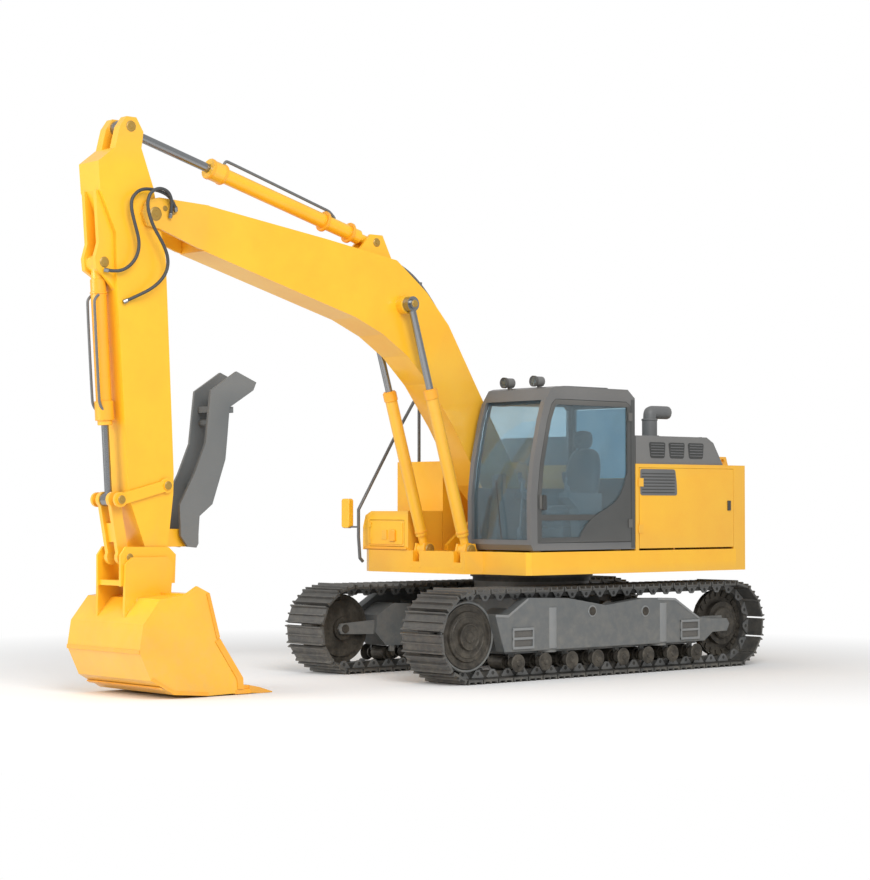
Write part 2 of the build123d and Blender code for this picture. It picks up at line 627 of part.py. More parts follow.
with BuildPart() as boom_cylinder_barrels:
    for sy in (1, -1):
        y = sy * boom_cylinder_y
        add(cross_bar(boom_cylinder_foot, eye_radius, y - 52 + running_gap, y + 52 - running_gap))
        add(axial(boom_cylinder_foot, boom_eye, 0, 170, 46, y))
        add(axial(boom_cylinder_foot, boom_eye, 160, 1750, barrel_radius, y))
        add(axial(boom_cylinder_foot, boom_eye, 190, 1760, rod_radius + 1.0, y),
            mode=Mode.SUBTRACT)
pieces.append((boom_cylinder_barrels, "boom_cylinder_barrels"))

boom_stroke = math.dist(boom_cylinder_foot, boom_eye)
with BuildPart() as boom_cylinder_rods:
    for sy in (1, -1):
        y = sy * boom_cylinder_y
        add(cross_bar(boom_eye, eye_radius, y - eye_half_width, y + eye_half_width))
        add(axial(boom_cylinder_foot, boom_eye, 900, boom_stroke, rod_radius, y))
        ends = sorted((sy * (boom_cylinder_y + eye_half_width - 5),
                       sy * (boom_cylinder_y + eye_half_width + 22)))
        add(cross_bar(boom_eye, 52, ends[0], ends[1]))
pieces.append((boom_cylinder_rods, "boom_cylinder_rods"))

# Stick cylinder
with BuildPart() as stick_cylinder_barrel:
    add(cross_bar(stick_cylinder_foot, eye_radius, -58 + running_gap, 58 - running_gap))
    add(axial(stick_cylinder_foot, stick_eye, 0, 200, 48))
    add(axial(stick_cylinder_foot, stick_eye, 190, 2150, barrel_radius + 10))
    add(axial(stick_cylinder_foot, stick_eye, 1960, 2150, barrel_radius + 35))
    add(axial(stick_cylinder_foot, stick_eye, 230, 2160, rod_radius + 7.0), mode=Mode.SUBTRACT)
pieces.append((stick_cylinder_barrel, "stick_cylinder_barrel"))

stick_stroke = math.dist(stick_cylinder_foot, stick_eye)
with BuildPart() as stick_cylinder_rod:
    add(cross_bar(stick_eye, eye_radius, -70 + running_gap, 70 - running_gap))
    add(axial(stick_cylinder_foot, stick_eye, 800, stick_stroke, rod_radius + 6))
pieces.append((stick_cylinder_rod, "stick_cylinder_rod"))

# Stick
stick_outline = [(5290, 5250), (5125, 4814), (4979, 4139), (4880, 2100), (4885, 1900),
                 (4960, 1290), (5160, 1290), (5385, 1873), (5525, 3817), (5540, 4350),
                 (5715, 4740), (5737, 5009), (5560, 5150)]
with BuildPart() as stick:
    add(side_prism(stick_outline, -stick_half_width, stick_half_width))
    add(side_prism([(5040, 4300), (4960, 3900), (4950, 2150), (5060, 1700), (5200, 1700),
                    (5340, 2100), (5440, 3700), (5470, 4350), (5620, 4760), (5620, 4960),
                    (5330, 4960)],
                   -stick_half_width + stick_plate, stick_half_width - stick_plate),
        mode=Mode.SUBTRACT)
    for y in (-stick_half_width, 70):
        add(side_prism([(5270, 5100), (5240, 5330), (5320, 5460), (5430, 5460), (5500, 5360),
                        (5560, 5120)], y, y + 100))
    for y in (-125, 75):
        add(side_prism([(5500, 3790), (5640, 3950), (5725, 4000), (5740, 4110), (5700, 4250),
                        (5735, 4740), (5500, 4740)], y, y + 50))
    add(cross_bar(bucket_pin, 105, -stick_half_width, stick_half_width))
    add(cross_bar(rocker_pin, 55, -178 + running_gap, 178 - running_gap))
    add(cross_bar(boom_nose, 125, -fork_inner + running_gap, fork_inner - running_gap))
    for y in (-80, 40):
        add(side_prism([(4560, 1430), (4560, 1540), (4640, 1570), (4930, 1570), (4960, 1400),
                        (4640, 1400)], y, y + 40))
    for y in (-119.7, 60):
        add(cross_bar(thumb_pin, 30, y, y + 59.7))
pieces.append((stick, "stick"))

with BuildPart() as bucket_cylinder_barrel:
    add(cross_bar(bucket_cylinder_foot, eye_radius, -75 + running_gap, 75 - running_gap))
    add(axial(bucket_cylinder_foot, cross_pin, 0, 1520, barrel_radius - 5))
    add(axial(bucket_cylinder_foot, cross_pin, 1400, 1520, barrel_radius + 5))
    add(axial(bucket_cylinder_foot, cross_pin, 190, 1530, rod_radius - 2), mode=Mode.SUBTRACT)
pieces.append((bucket_cylinder_barrel, "bucket_cylinder_barrel"))

bucket_stroke = math.dist(bucket_cylinder_foot, cross_pin)
with BuildPart() as bucket_cylinder_rod:
    add(cross_bar(cross_pin, 65, -62 + running_gap, 62 - running_gap))
    add(axial(bucket_cylinder_foot, cross_pin, 700, bucket_stroke, rod_radius - 3))
pieces.append((bucket_cylinder_rod, "bucket_cylinder_rod"))


def link_plate(start, end, radius, y_low, y_high):
    """A flat link with a round eye at each end."""
    with BuildPart() as piece:
        add(axial_block(start, end, 0, math.dist(start, end), radius * 0.75, y_low, y_high))
        add(cross_bar(start, radius, y_low, y_high))
        add(cross_bar(end, radius, y_low, y_high))
    return piece.part


with BuildPart() as rocker_links:
    for sy in (1, -1):
        ends = sorted((sy * 178, sy * 208))
        add(link_plate(rocker_pin, cross_pin, 70, ends[0], ends[1]))
        ends = sorted((sy * 208, sy * 225))
        add(cross_bar(rocker_pin, 45, ends[0], ends[1]))
        add(cross_bar(cross_pin, 45, ends[0], ends[1]))
pieces.append((rocker_links, "rocker_links"))

with BuildPart() as power_link:
    for sy in (1, -1):
        ends = sorted((sy * 62, sy * (112 - running_gap)))
        add(link_plate(link_pin, cross_pin, 75, ends[0], ends[1]))
    add(axial_block(link_pin, cross_pin, 150, 330, 30, -70, 70))
pieces.append((power_link, "power_link"))

# Coupler and bucket
with BuildPart() as coupler:
    for sy in (1, -1):
        ends = sorted((sy * 180, sy * 210))
        add(side_prism([(4890, 1060), (4880, 1330), (4960, 1400), (5440, 1410), (5500, 1330),
                        (5500, 1040)], ends[0], ends[1]))
    add(block(4930, 5480, -180, 180, 1045, 1095))
    add(cross_bar(link_pin, 38, -181, 181))
    add(cross_bar(link_pin, 200, -112, 112), mode=Mode.SUBTRACT)
    for sy in (1, -1):
        ends = sorted((sy * 112, sy * 181))
        add(cross_bar(link_pin, 38, ends[0], ends[1]))
        ends = sorted((sy * (stick_half_width + running_gap), sy * 181))
        add(cross_bar(bucket_pin, 48, ends[0], ends[1]))
        for pin in (bucket_pin, link_pin):
            ends = sorted((sy * 209, sy * 213.7))
            add(cross_bar(pin, 50, ends[0], ends[1]))
pieces.append((coupler, "coupler"))

shell_outer = [(5060, 960), (5330, 930), (5520, 700), (5560, 450), (5430, 180), (5180, 40),
               (4790, 10), (4300, 20)]
shell_inner = [(4300, 45), (4790, 42), (5165, 72), (5405, 205), (5528, 455), (5490, 690),
               (5310, 900), (5060, 930)]
side_outline = [(5060, 960), (5330, 930), (5520, 700), (5560, 450), (5430, 180), (5180, 40),
                (4790, 10), (4380, 20), (4392, 160), (4658, 540), (4783, 975), (4920, 1040)]
with BuildPart() as bucket:
    add(side_prism(shell_outer + shell_inner, -bucket_half_width, bucket_half_width))
    for sy in (1, -1):
        ends = sorted((sy * bucket_half_width, sy * (bucket_half_width - bucket_plate)))
        add(side_prism(side_outline, ends[0], ends[1]))
    add(block(4940, 5080, -bucket_half_width, bucket_half_width, 925, 975))
    for sy in (1, -1):
        ends = sorted((sy * 214, sy * 250))
        add(side_prism([(4960, 950), (4940, 1240), (5000, 1310), (5400, 1310), (5470, 1240),
                        (5480, 745), (5325, 920), (5060, 950)], ends[0], ends[1]))
pieces.append((bucket, "bucket"))

tooth_count = 5
with BuildPart() as bucket_teeth:
    for number in range(tooth_count):
        y = (number - (tooth_count - 1) / 2) * (2 * bucket_half_width - 130) / (tooth_count - 1)
        add(side_prism([(4299.7, 10), (4299.7, 85), (4180, 60), (4026, 12), (4026, 2),
                        (4180, 2)], y - 45, y + 45))
pieces.append((bucket_teeth, "bucket_teeth"))

# Thumb
thumb_outline = [(4576, 1430), (4576, 1520), (4564, 1693), (4413, 1808), (4260, 2245),
                 (4236, 2479), (4212, 2751), (3925, 2927), (3889, 3007), (4129, 3105),
                 (4436, 2908), (4495, 2396), (4622, 2105), (4795, 1798), (4780, 1503),
                 (4700, 1400), (4600, 1390)]
with BuildPart() as thumb:
    for y in (-150, 120):
        add(side_prism(thumb_outline, y, y + 30))
    add(cross_bar((4350, 2600), 40, -125, 125))
    add(cross_bar((4500, 1950), 40, -125, 125))
    add(block(4150, 4400, -125, 125, 2700, 2760))
pieces.append((thumb, "thumb"))

box = None
for builder, name in pieces:
    bounds = builder.part.bounding_box()
    box = bounds if box is None else box.add(bounds)
shift = Vector(-(box.min.X + box.max.X) / 2, -(box.min.Y + box.max.Y) / 2, -box.min.Z)

for builder, name in pieces:
    builder.part.label = name
    shifted = builder.part.moved(Location(shift))
    shifted.label = name
    export_step(shifted, f"parts/{name}.step")
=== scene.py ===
"""Looks of the crawler excavator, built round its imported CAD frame.

Lengths are in metres in the row frame. `Machine` turns a place drawn from the
swing axis, in millimetres as the CAD source has it, into that frame.
"""
import logging
import math
from dataclasses import dataclass, field
from enum import Enum
from typing import Iterable, Sequence

import bmesh
import bpy
from mathutils import Matrix, Vector


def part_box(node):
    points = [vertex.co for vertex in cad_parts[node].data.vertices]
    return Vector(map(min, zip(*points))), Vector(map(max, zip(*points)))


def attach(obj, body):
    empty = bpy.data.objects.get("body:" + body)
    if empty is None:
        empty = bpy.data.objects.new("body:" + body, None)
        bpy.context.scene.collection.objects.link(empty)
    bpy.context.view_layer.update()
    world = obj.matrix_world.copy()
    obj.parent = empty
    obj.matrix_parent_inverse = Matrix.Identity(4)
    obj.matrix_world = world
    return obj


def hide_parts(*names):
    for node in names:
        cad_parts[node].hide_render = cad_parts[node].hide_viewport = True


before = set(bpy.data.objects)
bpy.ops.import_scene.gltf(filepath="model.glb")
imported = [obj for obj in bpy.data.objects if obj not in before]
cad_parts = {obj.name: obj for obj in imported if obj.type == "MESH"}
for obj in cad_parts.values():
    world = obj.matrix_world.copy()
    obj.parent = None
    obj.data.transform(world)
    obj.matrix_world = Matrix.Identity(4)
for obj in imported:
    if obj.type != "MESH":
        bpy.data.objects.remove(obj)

Pair = tuple[float, float]
Point = tuple[float, float, float]
Shade = tuple[float, float, float, float]
Shape = bmesh.types.BMesh
Socket = bpy.types.NodeSocket
Inputs = dict[str | int, object]

log = logging.getLogger("excavator")
logging.basicConfig(level=logging.INFO, format="%(message)s")

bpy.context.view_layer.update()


class Finish(Enum):
    """The finishes on the machine, each by the name of its material."""

    YELLOW = "yellow_enamel"
    YELLOW_DEEP = "yellow_enamel_deep"
    CAB_GREY = "cab_grey_paint"
    HOOD_GREY = "hood_grey_paint"
    FRAME_GREY = "frame_grey_paint"
    TRACK = "track_steel"
    HUB = "hub_cast_steel"
    ROD = "chromed_rod"
    GLASS = "tinted_glass"
    SEAT = "seat_weave"
    PLASTIC = "moulded_plastic"
    RUBBER = "hose_rubber"
    # Dark paint on real parts, also used as painted shade in holes, openings and the exhaust mouth.
    PIN = "greased_pin"
    DARK = "dark_paint"
    DOOR = "door_grey_paint"
    LINK = "track_link_steel"
    STEP = "step_grey_paint"
    # A pane that glows: painted light of the sky seen through the cab's rear window.
    PANE = "pale_pane"


@dataclass(frozen=True)
class Paint:
    """One sprayed, cast, rolled or moulded surface.

    Args:
        colour: the colour where the surface is clean.
        faded: the colour of its broad, faint patches.
        roughness: the lowest and highest roughness.
        metallic: how metallic the bare surface is.
        coat: weight of the clear layer on top.
        grain: size of the fine grain, in metres.
        depth: height of the fine grain, in metres.
        dust: how much dust lies on upward faces and near the ground.
        worn: the colour that shows where the edges are rubbed.
    """

    colour: Point
    faded: Point
    roughness: Pair = (0.32, 0.45)
    metallic: float = 0.0
    coat: float = 0.0
    grain: float = 0.004
    depth: float = 0.0002
    dust: float = 0.15
    worn: Point = (0.30, 0.28, 0.25)


PAINTS: dict[Finish, Paint] = {
    Finish.YELLOW: Paint((0.955, 0.520, 0.022), (0.930, 0.455, 0.018), (0.30, 0.42), coat=0.35,
                         worn=(0.60, 0.36, 0.10)),
    Finish.YELLOW_DEEP: Paint((0.930, 0.420, 0.016), (0.900, 0.380, 0.014), (0.32, 0.44), coat=0.3,
                              worn=(0.50, 0.30, 0.08)),
    Finish.CAB_GREY: Paint((0.105, 0.108, 0.110), (0.125, 0.127, 0.128), (0.34, 0.48), coat=0.25),
    Finish.HOOD_GREY: Paint((0.130, 0.134, 0.136), (0.150, 0.153, 0.154), (0.40, 0.55)),
    Finish.FRAME_GREY: Paint((0.115, 0.124, 0.126), (0.135, 0.142, 0.143), (0.42, 0.60), dust=0.3),
    Finish.TRACK: Paint((0.046, 0.048, 0.048), (0.062, 0.062, 0.060), (0.42, 0.68), metallic=0.55,
                        depth=0.0006, dust=0.35, worn=(0.34, 0.33, 0.31)),
    Finish.HUB: Paint((0.032, 0.028, 0.022), (0.044, 0.038, 0.030), (0.45, 0.65), metallic=0.3,
                      depth=0.0005, dust=0.3),
    Finish.ROD: Paint((0.300, 0.310, 0.318), (0.260, 0.268, 0.275), (0.16, 0.28), metallic=0.9,
                      grain=0.0015, depth=0.00002, dust=0.0),
    Finish.PLASTIC: Paint((0.100, 0.125, 0.140), (0.125, 0.150, 0.165), (0.50, 0.62), grain=0.0015,
                          dust=0.05),
    Finish.RUBBER: Paint((0.040, 0.044, 0.047), (0.055, 0.058, 0.060), (0.45, 0.60), grain=0.002),
    Finish.PIN: Paint((0.430, 0.265, 0.050), (0.380, 0.230, 0.045), (0.35, 0.50), metallic=0.35),
    # Also used as painted shade in holes, openings and the exhaust mouth.
    Finish.DARK: Paint((0.040, 0.041, 0.040), (0.052, 0.053, 0.052), (0.45, 0.60)),
    Finish.DOOR: Paint((0.058, 0.060, 0.058), (0.074, 0.076, 0.074), (0.36, 0.50), coat=0.2),
    Finish.LINK: Paint((0.210, 0.215, 0.215), (0.260, 0.262, 0.260), (0.40, 0.60), metallic=0.5,
                       depth=0.0005, dust=0.2),
    Finish.STEP: Paint((0.235, 0.245, 0.248), (0.200, 0.208, 0.210), (0.38, 0.55), dust=0.2),
}


def placed(name: str, data: bpy.types.ID) -> bpy.types.Object:
    """A new object in the scene.

    Args:
        name: its name.
        data: its mesh, curve, camera or lamp.

    Returns:
        The object, at the origin.
    """
    piece = bpy.data.objects.new(name, data)
    bpy.context.collection.objects.link(piece)
    return piece


class Graph:
    """Fills one node tree."""

    def __init__(self, tree: bpy.types.NodeTree) -> None:
        """Takes a tree.

        Args:
            tree: the tree of a material, a world or a group.
        """
        self.nodes, self.links = tree.nodes, tree.links

    def fill(self, node: bpy.types.Node, inputs: Inputs) -> bpy.types.Node:
        """Sets or feeds inputs of a node.

        Args:
            node: the node.
            inputs: for each input, its value or the output that feeds it.

        Returns:
            The node.
        """
        for name, value in inputs.items():
            if isinstance(value, bpy.types.NodeSocket):
                self.links.new(value, node.inputs[name])
            else:
                node.inputs[name].default_value = value
        return node

    def add(self, kind: str, inputs: Inputs | None = None, **settings: object) -> bpy.types.Node:
        """Adds a shader node.

        Args:
            kind: its type, without the word that all of them start with.
            inputs: for each input, its value or the output that feeds it.
            settings: its own settings, such as the operation.

        Returns:
            The node.
        """
        node = self.nodes.new(f"ShaderNode{kind}")
        for name, value in settings.items():
            setattr(node, name, value)
        return self.fill(node, inputs or {})

    def span(self, value: Socket, low: float = 0.0, high: float = 1.0, to_low: float = 0.0,
             to_high: float = 1.0) -> Socket:
        """A value moved from one range to another.

        Args:
            value: the output to move.
            low: what becomes to_low.
            high: what becomes to_high.
            to_low: the start of the new range.
            to_high: the end of the new range.

        Returns:
            The output with the moved value.
        """
        return self.add("MapRange", {"Value": value, "From Min": low, "From Max": high,
                                     "To Min": to_low, "To Max": to_high}).outputs["Result"]

    def mix(self, factor: Socket, first: object, second: object) -> Socket:
        """A colour laid over another where a mask says so.

        Args:
            factor: the mask.
            first: the colour where it is 0, or an output.
            second: the colour where it is 1, or an output.

        Returns:
            The output with the mixed colour.
        """
        inputs = {"Factor": factor, "A": first, "B": second}
        return self.add("Mix", inputs, data_type="RGBA").outputs["Result"]

    def math(self, operation: str, first: Socket, second: Socket) -> Socket:
        """Two values as one.

        Args:
            operation: what is done to them.
            first: an output.
            second: another output.

        Returns:
            The output with the result.
        """
        return self.add("Math", {0: first, 1: second}, operation=operation).outputs["Value"]


class Workshop:
    """Mixes the finishes and keeps one material for each."""

    dust: Shade = (0.42, 0.37, 0.29, 1.0)

    def __init__(self) -> None:
        """Builds the shared effects that the finishes draw on."""
        self.weather = self._weather_group()
        self.materials: dict[Finish, bpy.types.Material] = {}

    def _weather_group(self) -> bpy.types.ShaderNodeTree:
        """Faint patches, fine grain and settled dust, as one node group.

        Returns:
            The group, with the masks Patches, Grain and Dust and a Normal.
        """
        group = bpy.data.node_groups.new("weathered_surface", "ShaderNodeTree")
        sockets = group.interface
        for name, default in (("Patch Scale", 1.6), ("Grain Scale", 250.0),
                              ("Grain Depth", 0.0002), ("Dust Amount", 0.15)):
            socket = sockets.new_socket(name, in_out="INPUT", socket_type="NodeSocketFloat")
            socket.default_value = default
        for name in ("Patches", "Grain", "Dust"):
            sockets.new_socket(name, in_out="OUTPUT", socket_type="NodeSocketFloat")
        sockets.new_socket("Normal", in_out="OUTPUT", socket_type="NodeSocketVector")
        graph = Graph(group)
        given = graph.nodes.new("NodeGroupInput").outputs
        place = graph.add("TexCoord").outputs["Object"]
        patches = graph.add("TexNoise", {"Vector": place, "Scale": given["Patch Scale"],
                                         "Detail": 5.0, "Roughness": 0.6}).outputs["Fac"]
        grain = graph.add("TexNoise", {"Vector": place, "Scale": given["Grain Scale"],
                                       "Detail": 2.0}).outputs["Fac"]
        bump = graph.add("Bump", {"Strength": 0.6, "Distance": given["Grain Depth"],
                                  "Height": grain})
        near_ground = graph.span(graph.add("SeparateXYZ", {"Vector": place}).outputs["Z"], 1.3, 0.0)
        facing = graph.add("NewGeometry").outputs["Normal"]
        upward = graph.span(graph.add("SeparateXYZ", {"Vector": facing}).outputs["Z"], 0.5,
                            to_high=0.6)
        speckle = graph.add("TexNoise", {"Vector": place, "Scale": 9.0, "Detail": 8.0,
                                         "Roughness": 0.7}).outputs["Fac"]
        settled = graph.math("MULTIPLY", graph.math("MAXIMUM", near_ground, upward),
                             graph.span(speckle, 0.42, 0.72))
        graph.fill(graph.nodes.new("NodeGroupOutput"), {
            "Patches": graph.span(patches, 0.35, 0.68),
            "Grain": grain,
            "Dust": graph.math("MULTIPLY", settled, given["Dust Amount"]),
            "Normal": bump.outputs["Normal"],
        })
        return group

    def finish(self, finish: Finish) -> bpy.types.Material:
        """The material of a finish, mixed on its first use.

        Args:
            finish: the finish wanted.

        Returns:
            Its material.
        """
        if finish not in self.materials:
            special = {Finish.GLASS: self._glass, Finish.PANE: self._pane,
                       Finish.SEAT: self._weave}.get(finish)
            self.materials[finish] = (special(finish.value) if special
                                      else self._painted(finish.value, PAINTS[finish]))
        return self.materials[finish]

    @staticmethod
    def _blank(name: str, shown: Shade) -> tuple[bpy.types.Material, Graph, bpy.types.Node]:
        """A new material to fill.

        Args:
            name: its name.
            shown: its colour in a plain view.

        Returns:
            The material, its graph and its shader.
        """
        material = bpy.data.materials.new(name)
        material.use_nodes = True
        material.diffuse_color = shown
        graph = Graph(material.node_tree)
        return material, graph, graph.nodes["Principled BSDF"]

    def _painted(self, name: str, paint: Paint) -> bpy.types.Material:
        """A paint, steel, rubber or plastic with patches, grain, wear and dust.

        Args:
            name: name of the material.
            paint: its colours and numbers.

        Returns:
            The material.
        """
        material, graph, shader = self._blank(name, (*paint.colour, 1.0))
        masks = graph.add("Group", {"Grain Scale": 1.0 / paint.grain, "Grain Depth": paint.depth,
                                    "Dust Amount": paint.dust}, node_tree=self.weather).outputs
        colour = graph.mix(masks["Patches"], (*paint.colour, 1.0), (*paint.faded, 1.0))
        edges = graph.span(graph.add("NewGeometry").outputs["Pointiness"], 0.54, 0.62,
                           to_high=0.45)
        rubbed = graph.math("MULTIPLY", edges, masks["Grain"])
        colour = graph.mix(rubbed, colour, (*paint.worn, 1.0))
        graph.fill(shader, {
            "Base Color": graph.mix(masks["Dust"], colour, self.dust),
            "Metallic": paint.metallic,
            "Coat Weight": paint.coat,
            "Coat Roughness": 0.12,
            "Roughness": graph.span(masks["Patches"], 0.0, 1.0, *paint.roughness),
            "Normal": masks["Normal"],
        })
        return material

    def _glass(self, name: str) -> bpy.types.Material:
        """Tinted safety glass with faint smears.

        Args:
            name: name of the material.

        Returns:
            The material.
        """
        material, graph, shader = self._blank(name, (0.5, 0.62, 0.68, 0.4))
        smears = graph.add("Group", {"Patch Scale": 3.0, "Grain Depth": 0.0},
                           node_tree=self.weather).outputs["Patches"]
        graph.fill(shader, {
            "Base Color": graph.mix(smears, (0.52, 0.68, 0.76, 1.0), (0.60, 0.74, 0.80, 1.0)),
            "Roughness": graph.span(smears, 0.0, 1.0, 0.02, 0.06),
            "Transmission Weight": 0.92,
            "IOR": 1.45,
        })
        return material

    def _pane(self, name: str) -> bpy.types.Material:
        """A pale blue pane that glows: painted light of the sky seen through the cab's rear window.

        Args:
            name: name of the material.

        Returns:
            The material.
        """
        material, graph, shader = self._blank(name, (0.45, 0.64, 0.74, 1.0))
        patches = graph.add("Group", node_tree=self.weather).outputs["Patches"]
        colour = graph.mix(patches, (0.40, 0.62, 0.74, 1.0), (0.46, 0.67, 0.78, 1.0))
        graph.fill(shader, {
            "Base Color": colour,
            # Painted light: the pane glows as if the sky shone through it.
            "Emission Color": colour,
            "Emission Strength": 0.45,
            "Roughness": graph.span(patches, 0.0, 1.0, 0.05, 0.12),
        })
        return material

    def _weave(self, name: str) -> bpy.types.Material:
        """Seat cloth of crossing threads.

        Args:
            name: name of the material.

        Returns:
            The material.
        """
        material, graph, shader = self._blank(name, (0.10, 0.13, 0.15, 1.0))
        place = graph.add("TexCoord").outputs["Object"]
        threads = [graph.add("TexWave", {"Vector": place, "Scale": 55.0, "Distortion": 0.4},
                             bands_direction=direction).outputs["Fac"] for direction in "XZ"]
        cross = graph.math("MULTIPLY", *threads)
        bump = graph.add("Bump", {"Strength": 0.5, "Distance": 0.0012, "Height": cross})
        graph.fill(shader, {
            "Base Color": graph.mix(cross, (0.055, 0.075, 0.088, 1.0), (0.120, 0.150, 0.170, 1.0)),
            "Roughness": graph.span(cross, 0.0, 1.0, 0.75, 0.92),
            "Normal": bump.outputs["Normal"],
            "Sheen Weight": 0.35,
        })
        return material


@dataclass
class Machine:
    """Where the machine stands in the row frame."""

    swing: Vector = field(default_factory=lambda: sum(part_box("swing_bearing"), Vector()) / 2)

    def at(self, x: float, y: float, z: float) -> Vector:
        """A place in the row frame.

        Args:
            x: millimetres forward of the swing axis.
            y: millimetres to the machine's left of it.
            z: millimetres above the ground.

        Returns:
            The place in metres.
        """
        return Vector((self.swing.x + x / 1000, self.swing.y + y / 1000, z / 1000))


MACHINE = Machine()
WORKSHOP = Workshop()


@dataclass
class Studio:
    """Camera, light, floor and backdrop.

    Args:
        eye: the camera's place from the swing axis, in millimetres.
        aim: what the middle of the photograph shows, as such a place.
        focal_mm: focal length on a sensor of 36 mm along the long side.
        floor_reach: half the width of the floor, in metres.
        fade_from: where the floor starts to turn white, in metres from its middle.
        fade_to: from where on it is white.
    """

    eye: Point = (16860.0, 17590.0, 1790.0)
    aim: Point = (769.0, -738.0, 2521.0)
    focal_mm: float = 90.1
    floor_reach: float = 60.0
    fade_from: float = 4.5
    fade_to: float = 9.0

    def build(self) -> None:
        """Sets up everything round the machine."""
        self._camera()
        self._backdrop()
        self._lamps()
        bpy.context.scene.view_settings.view_transform = "Standard"

    @staticmethod
    def _point(piece: bpy.types.Object, place: Point, aim: Point) -> None:
        """Stands a camera or a lamp up and turns it to what it looks at.

        Args:
            piece: the camera or lamp.
            place: where it stands.
            aim: what it looks at.
        """
        piece.location = MACHINE.at(*place)
        gaze = MACHINE.at(*aim) - piece.location
        piece.rotation_euler = gaze.to_track_quat("-Z", "Y").to_euler()

    def _camera(self) -> None:
        """Puts the camera where the photograph was drawn from."""
        data = bpy.data.cameras.new("photo_camera")
        data.lens = self.focal_mm
        data.sensor_width = 36.0
        data.clip_end = 400.0
        camera = placed("photo_camera", data)
        self._point(camera, self.eye, self.aim)
        bpy.context.scene.camera = camera

    def _backdrop(self) -> None:
        """A pale floor that turns plain white away from the machine."""
        shape = bmesh.new()
        bmesh.ops.create_grid(shape, x_segments=2, y_segments=2, size=self.floor_reach)
        mesh = bpy.data.meshes.new("studio_floor")
        shape.to_mesh(mesh)
        shape.free()
        floor = placed("studio_floor", mesh)
        material = bpy.data.materials.new("pale_studio_floor")
        material.use_nodes = True
        graph = Graph(material.node_tree)
        shader = graph.fill(graph.nodes["Principled BSDF"], {
            "Base Color": (0.90, 0.90, 0.90, 1.0), "Roughness": 0.9, "Specular IOR Level": 0.0})
        place = graph.add("TexCoord").outputs["Object"]
        reach = graph.add("VectorMath", {0: place}, operation="LENGTH").outputs["Value"]
        seen = graph.math("MULTIPLY", graph.span(reach, self.fade_from, self.fade_to),
                          graph.add("LightPath").outputs["Is Camera Ray"])
        white = graph.add("Emission").outputs["Emission"]
        mix = graph.add("MixShader", {"Fac": seen, 1: shader.outputs["BSDF"], 2: white})
        graph.fill(graph.nodes["Material Output"], {"Surface": mix.outputs["Shader"]})
        mesh.materials.append(material)

    def _lamps(self) -> None:
        """An even pale sky, a broad key lamp and a softer fill."""
        world = bpy.data.worlds.new("studio_air")
        bpy.context.scene.world = world
        world.use_nodes = True
        graph = Graph(world.node_tree)
        white = (1.0, 1.0, 1.0, 1.0)
        air = graph.fill(graph.nodes["Background"], {"Color": white, "Strength": 0.62})
        seen = graph.add("Background", {"Color": white, "Strength": 1.0})
        path = graph.add("LightPath").outputs
        direct = graph.math("MAXIMUM", path["Is Camera Ray"], path["Is Transmission Ray"])
        mix = graph.add("MixShader", {"Fac": direct, 1: air.outputs["Background"],
                                      2: seen.outputs["Background"]})
        graph.fill(graph.nodes["World Output"], {"Surface": mix.outputs["Shader"]})
        for name, place, size, power in (
            ("key_lamp", (9000.0, 14000.0, 12000.0), 9.0, 1900.0),
            ("fill_lamp", (17000.0, -4000.0, 7000.0), 9.0, 1100.0),
        ):
            data = bpy.data.lights.new(name, "AREA")
            data.size = size
            data.energy = power
            self._point(placed(name, data), place, (500.0, 0.0, 1800.0))


CAD_FINISHES: dict[str, Finish] = {
    "car_body": Finish.FRAME_GREY,
    "swing_bearing": Finish.TRACK,
    "cab_shell": Finish.CAB_GREY,
    "cab_door": Finish.DOOR,
    "cab_glass": Finish.GLASS,
    "door_glass": Finish.GLASS,
    "operator_seat": Finish.SEAT,
    "cab_console": Finish.PLASTIC,
    "travel_levers": Finish.PLASTIC,
    "work_lamps": Finish.HOOD_GREY,
    "engine_bay": Finish.YELLOW,
    "engine_block": Finish.HOOD_GREY,
    "engine_hood": Finish.HOOD_GREY,
    "exhaust_pipe": Finish.HOOD_GREY,
    "handrail": Finish.CAB_GREY,
    "mirror": Finish.CAB_GREY,
    "boom_cylinder_rods": Finish.ROD,
    "stick_cylinder_rod": Finish.ROD,
    "bucket_cylinder_rod": Finish.ROD,
    "bucket_teeth": Finish.YELLOW_DEEP,
    "thumb": Finish.FRAME_GREY,
}
for _side in ("left", "right"):
    CAD_FINISHES[f"track_frame_{_side}"] = Finish.FRAME_GREY
    CAD_FINISHES[f"track_{_side}"] = Finish.TRACK
    for _part in ("idler", "sprocket", "rollers"):
        CAD_FINISHES[f"{_part}_{_side}"] = Finish.HUB


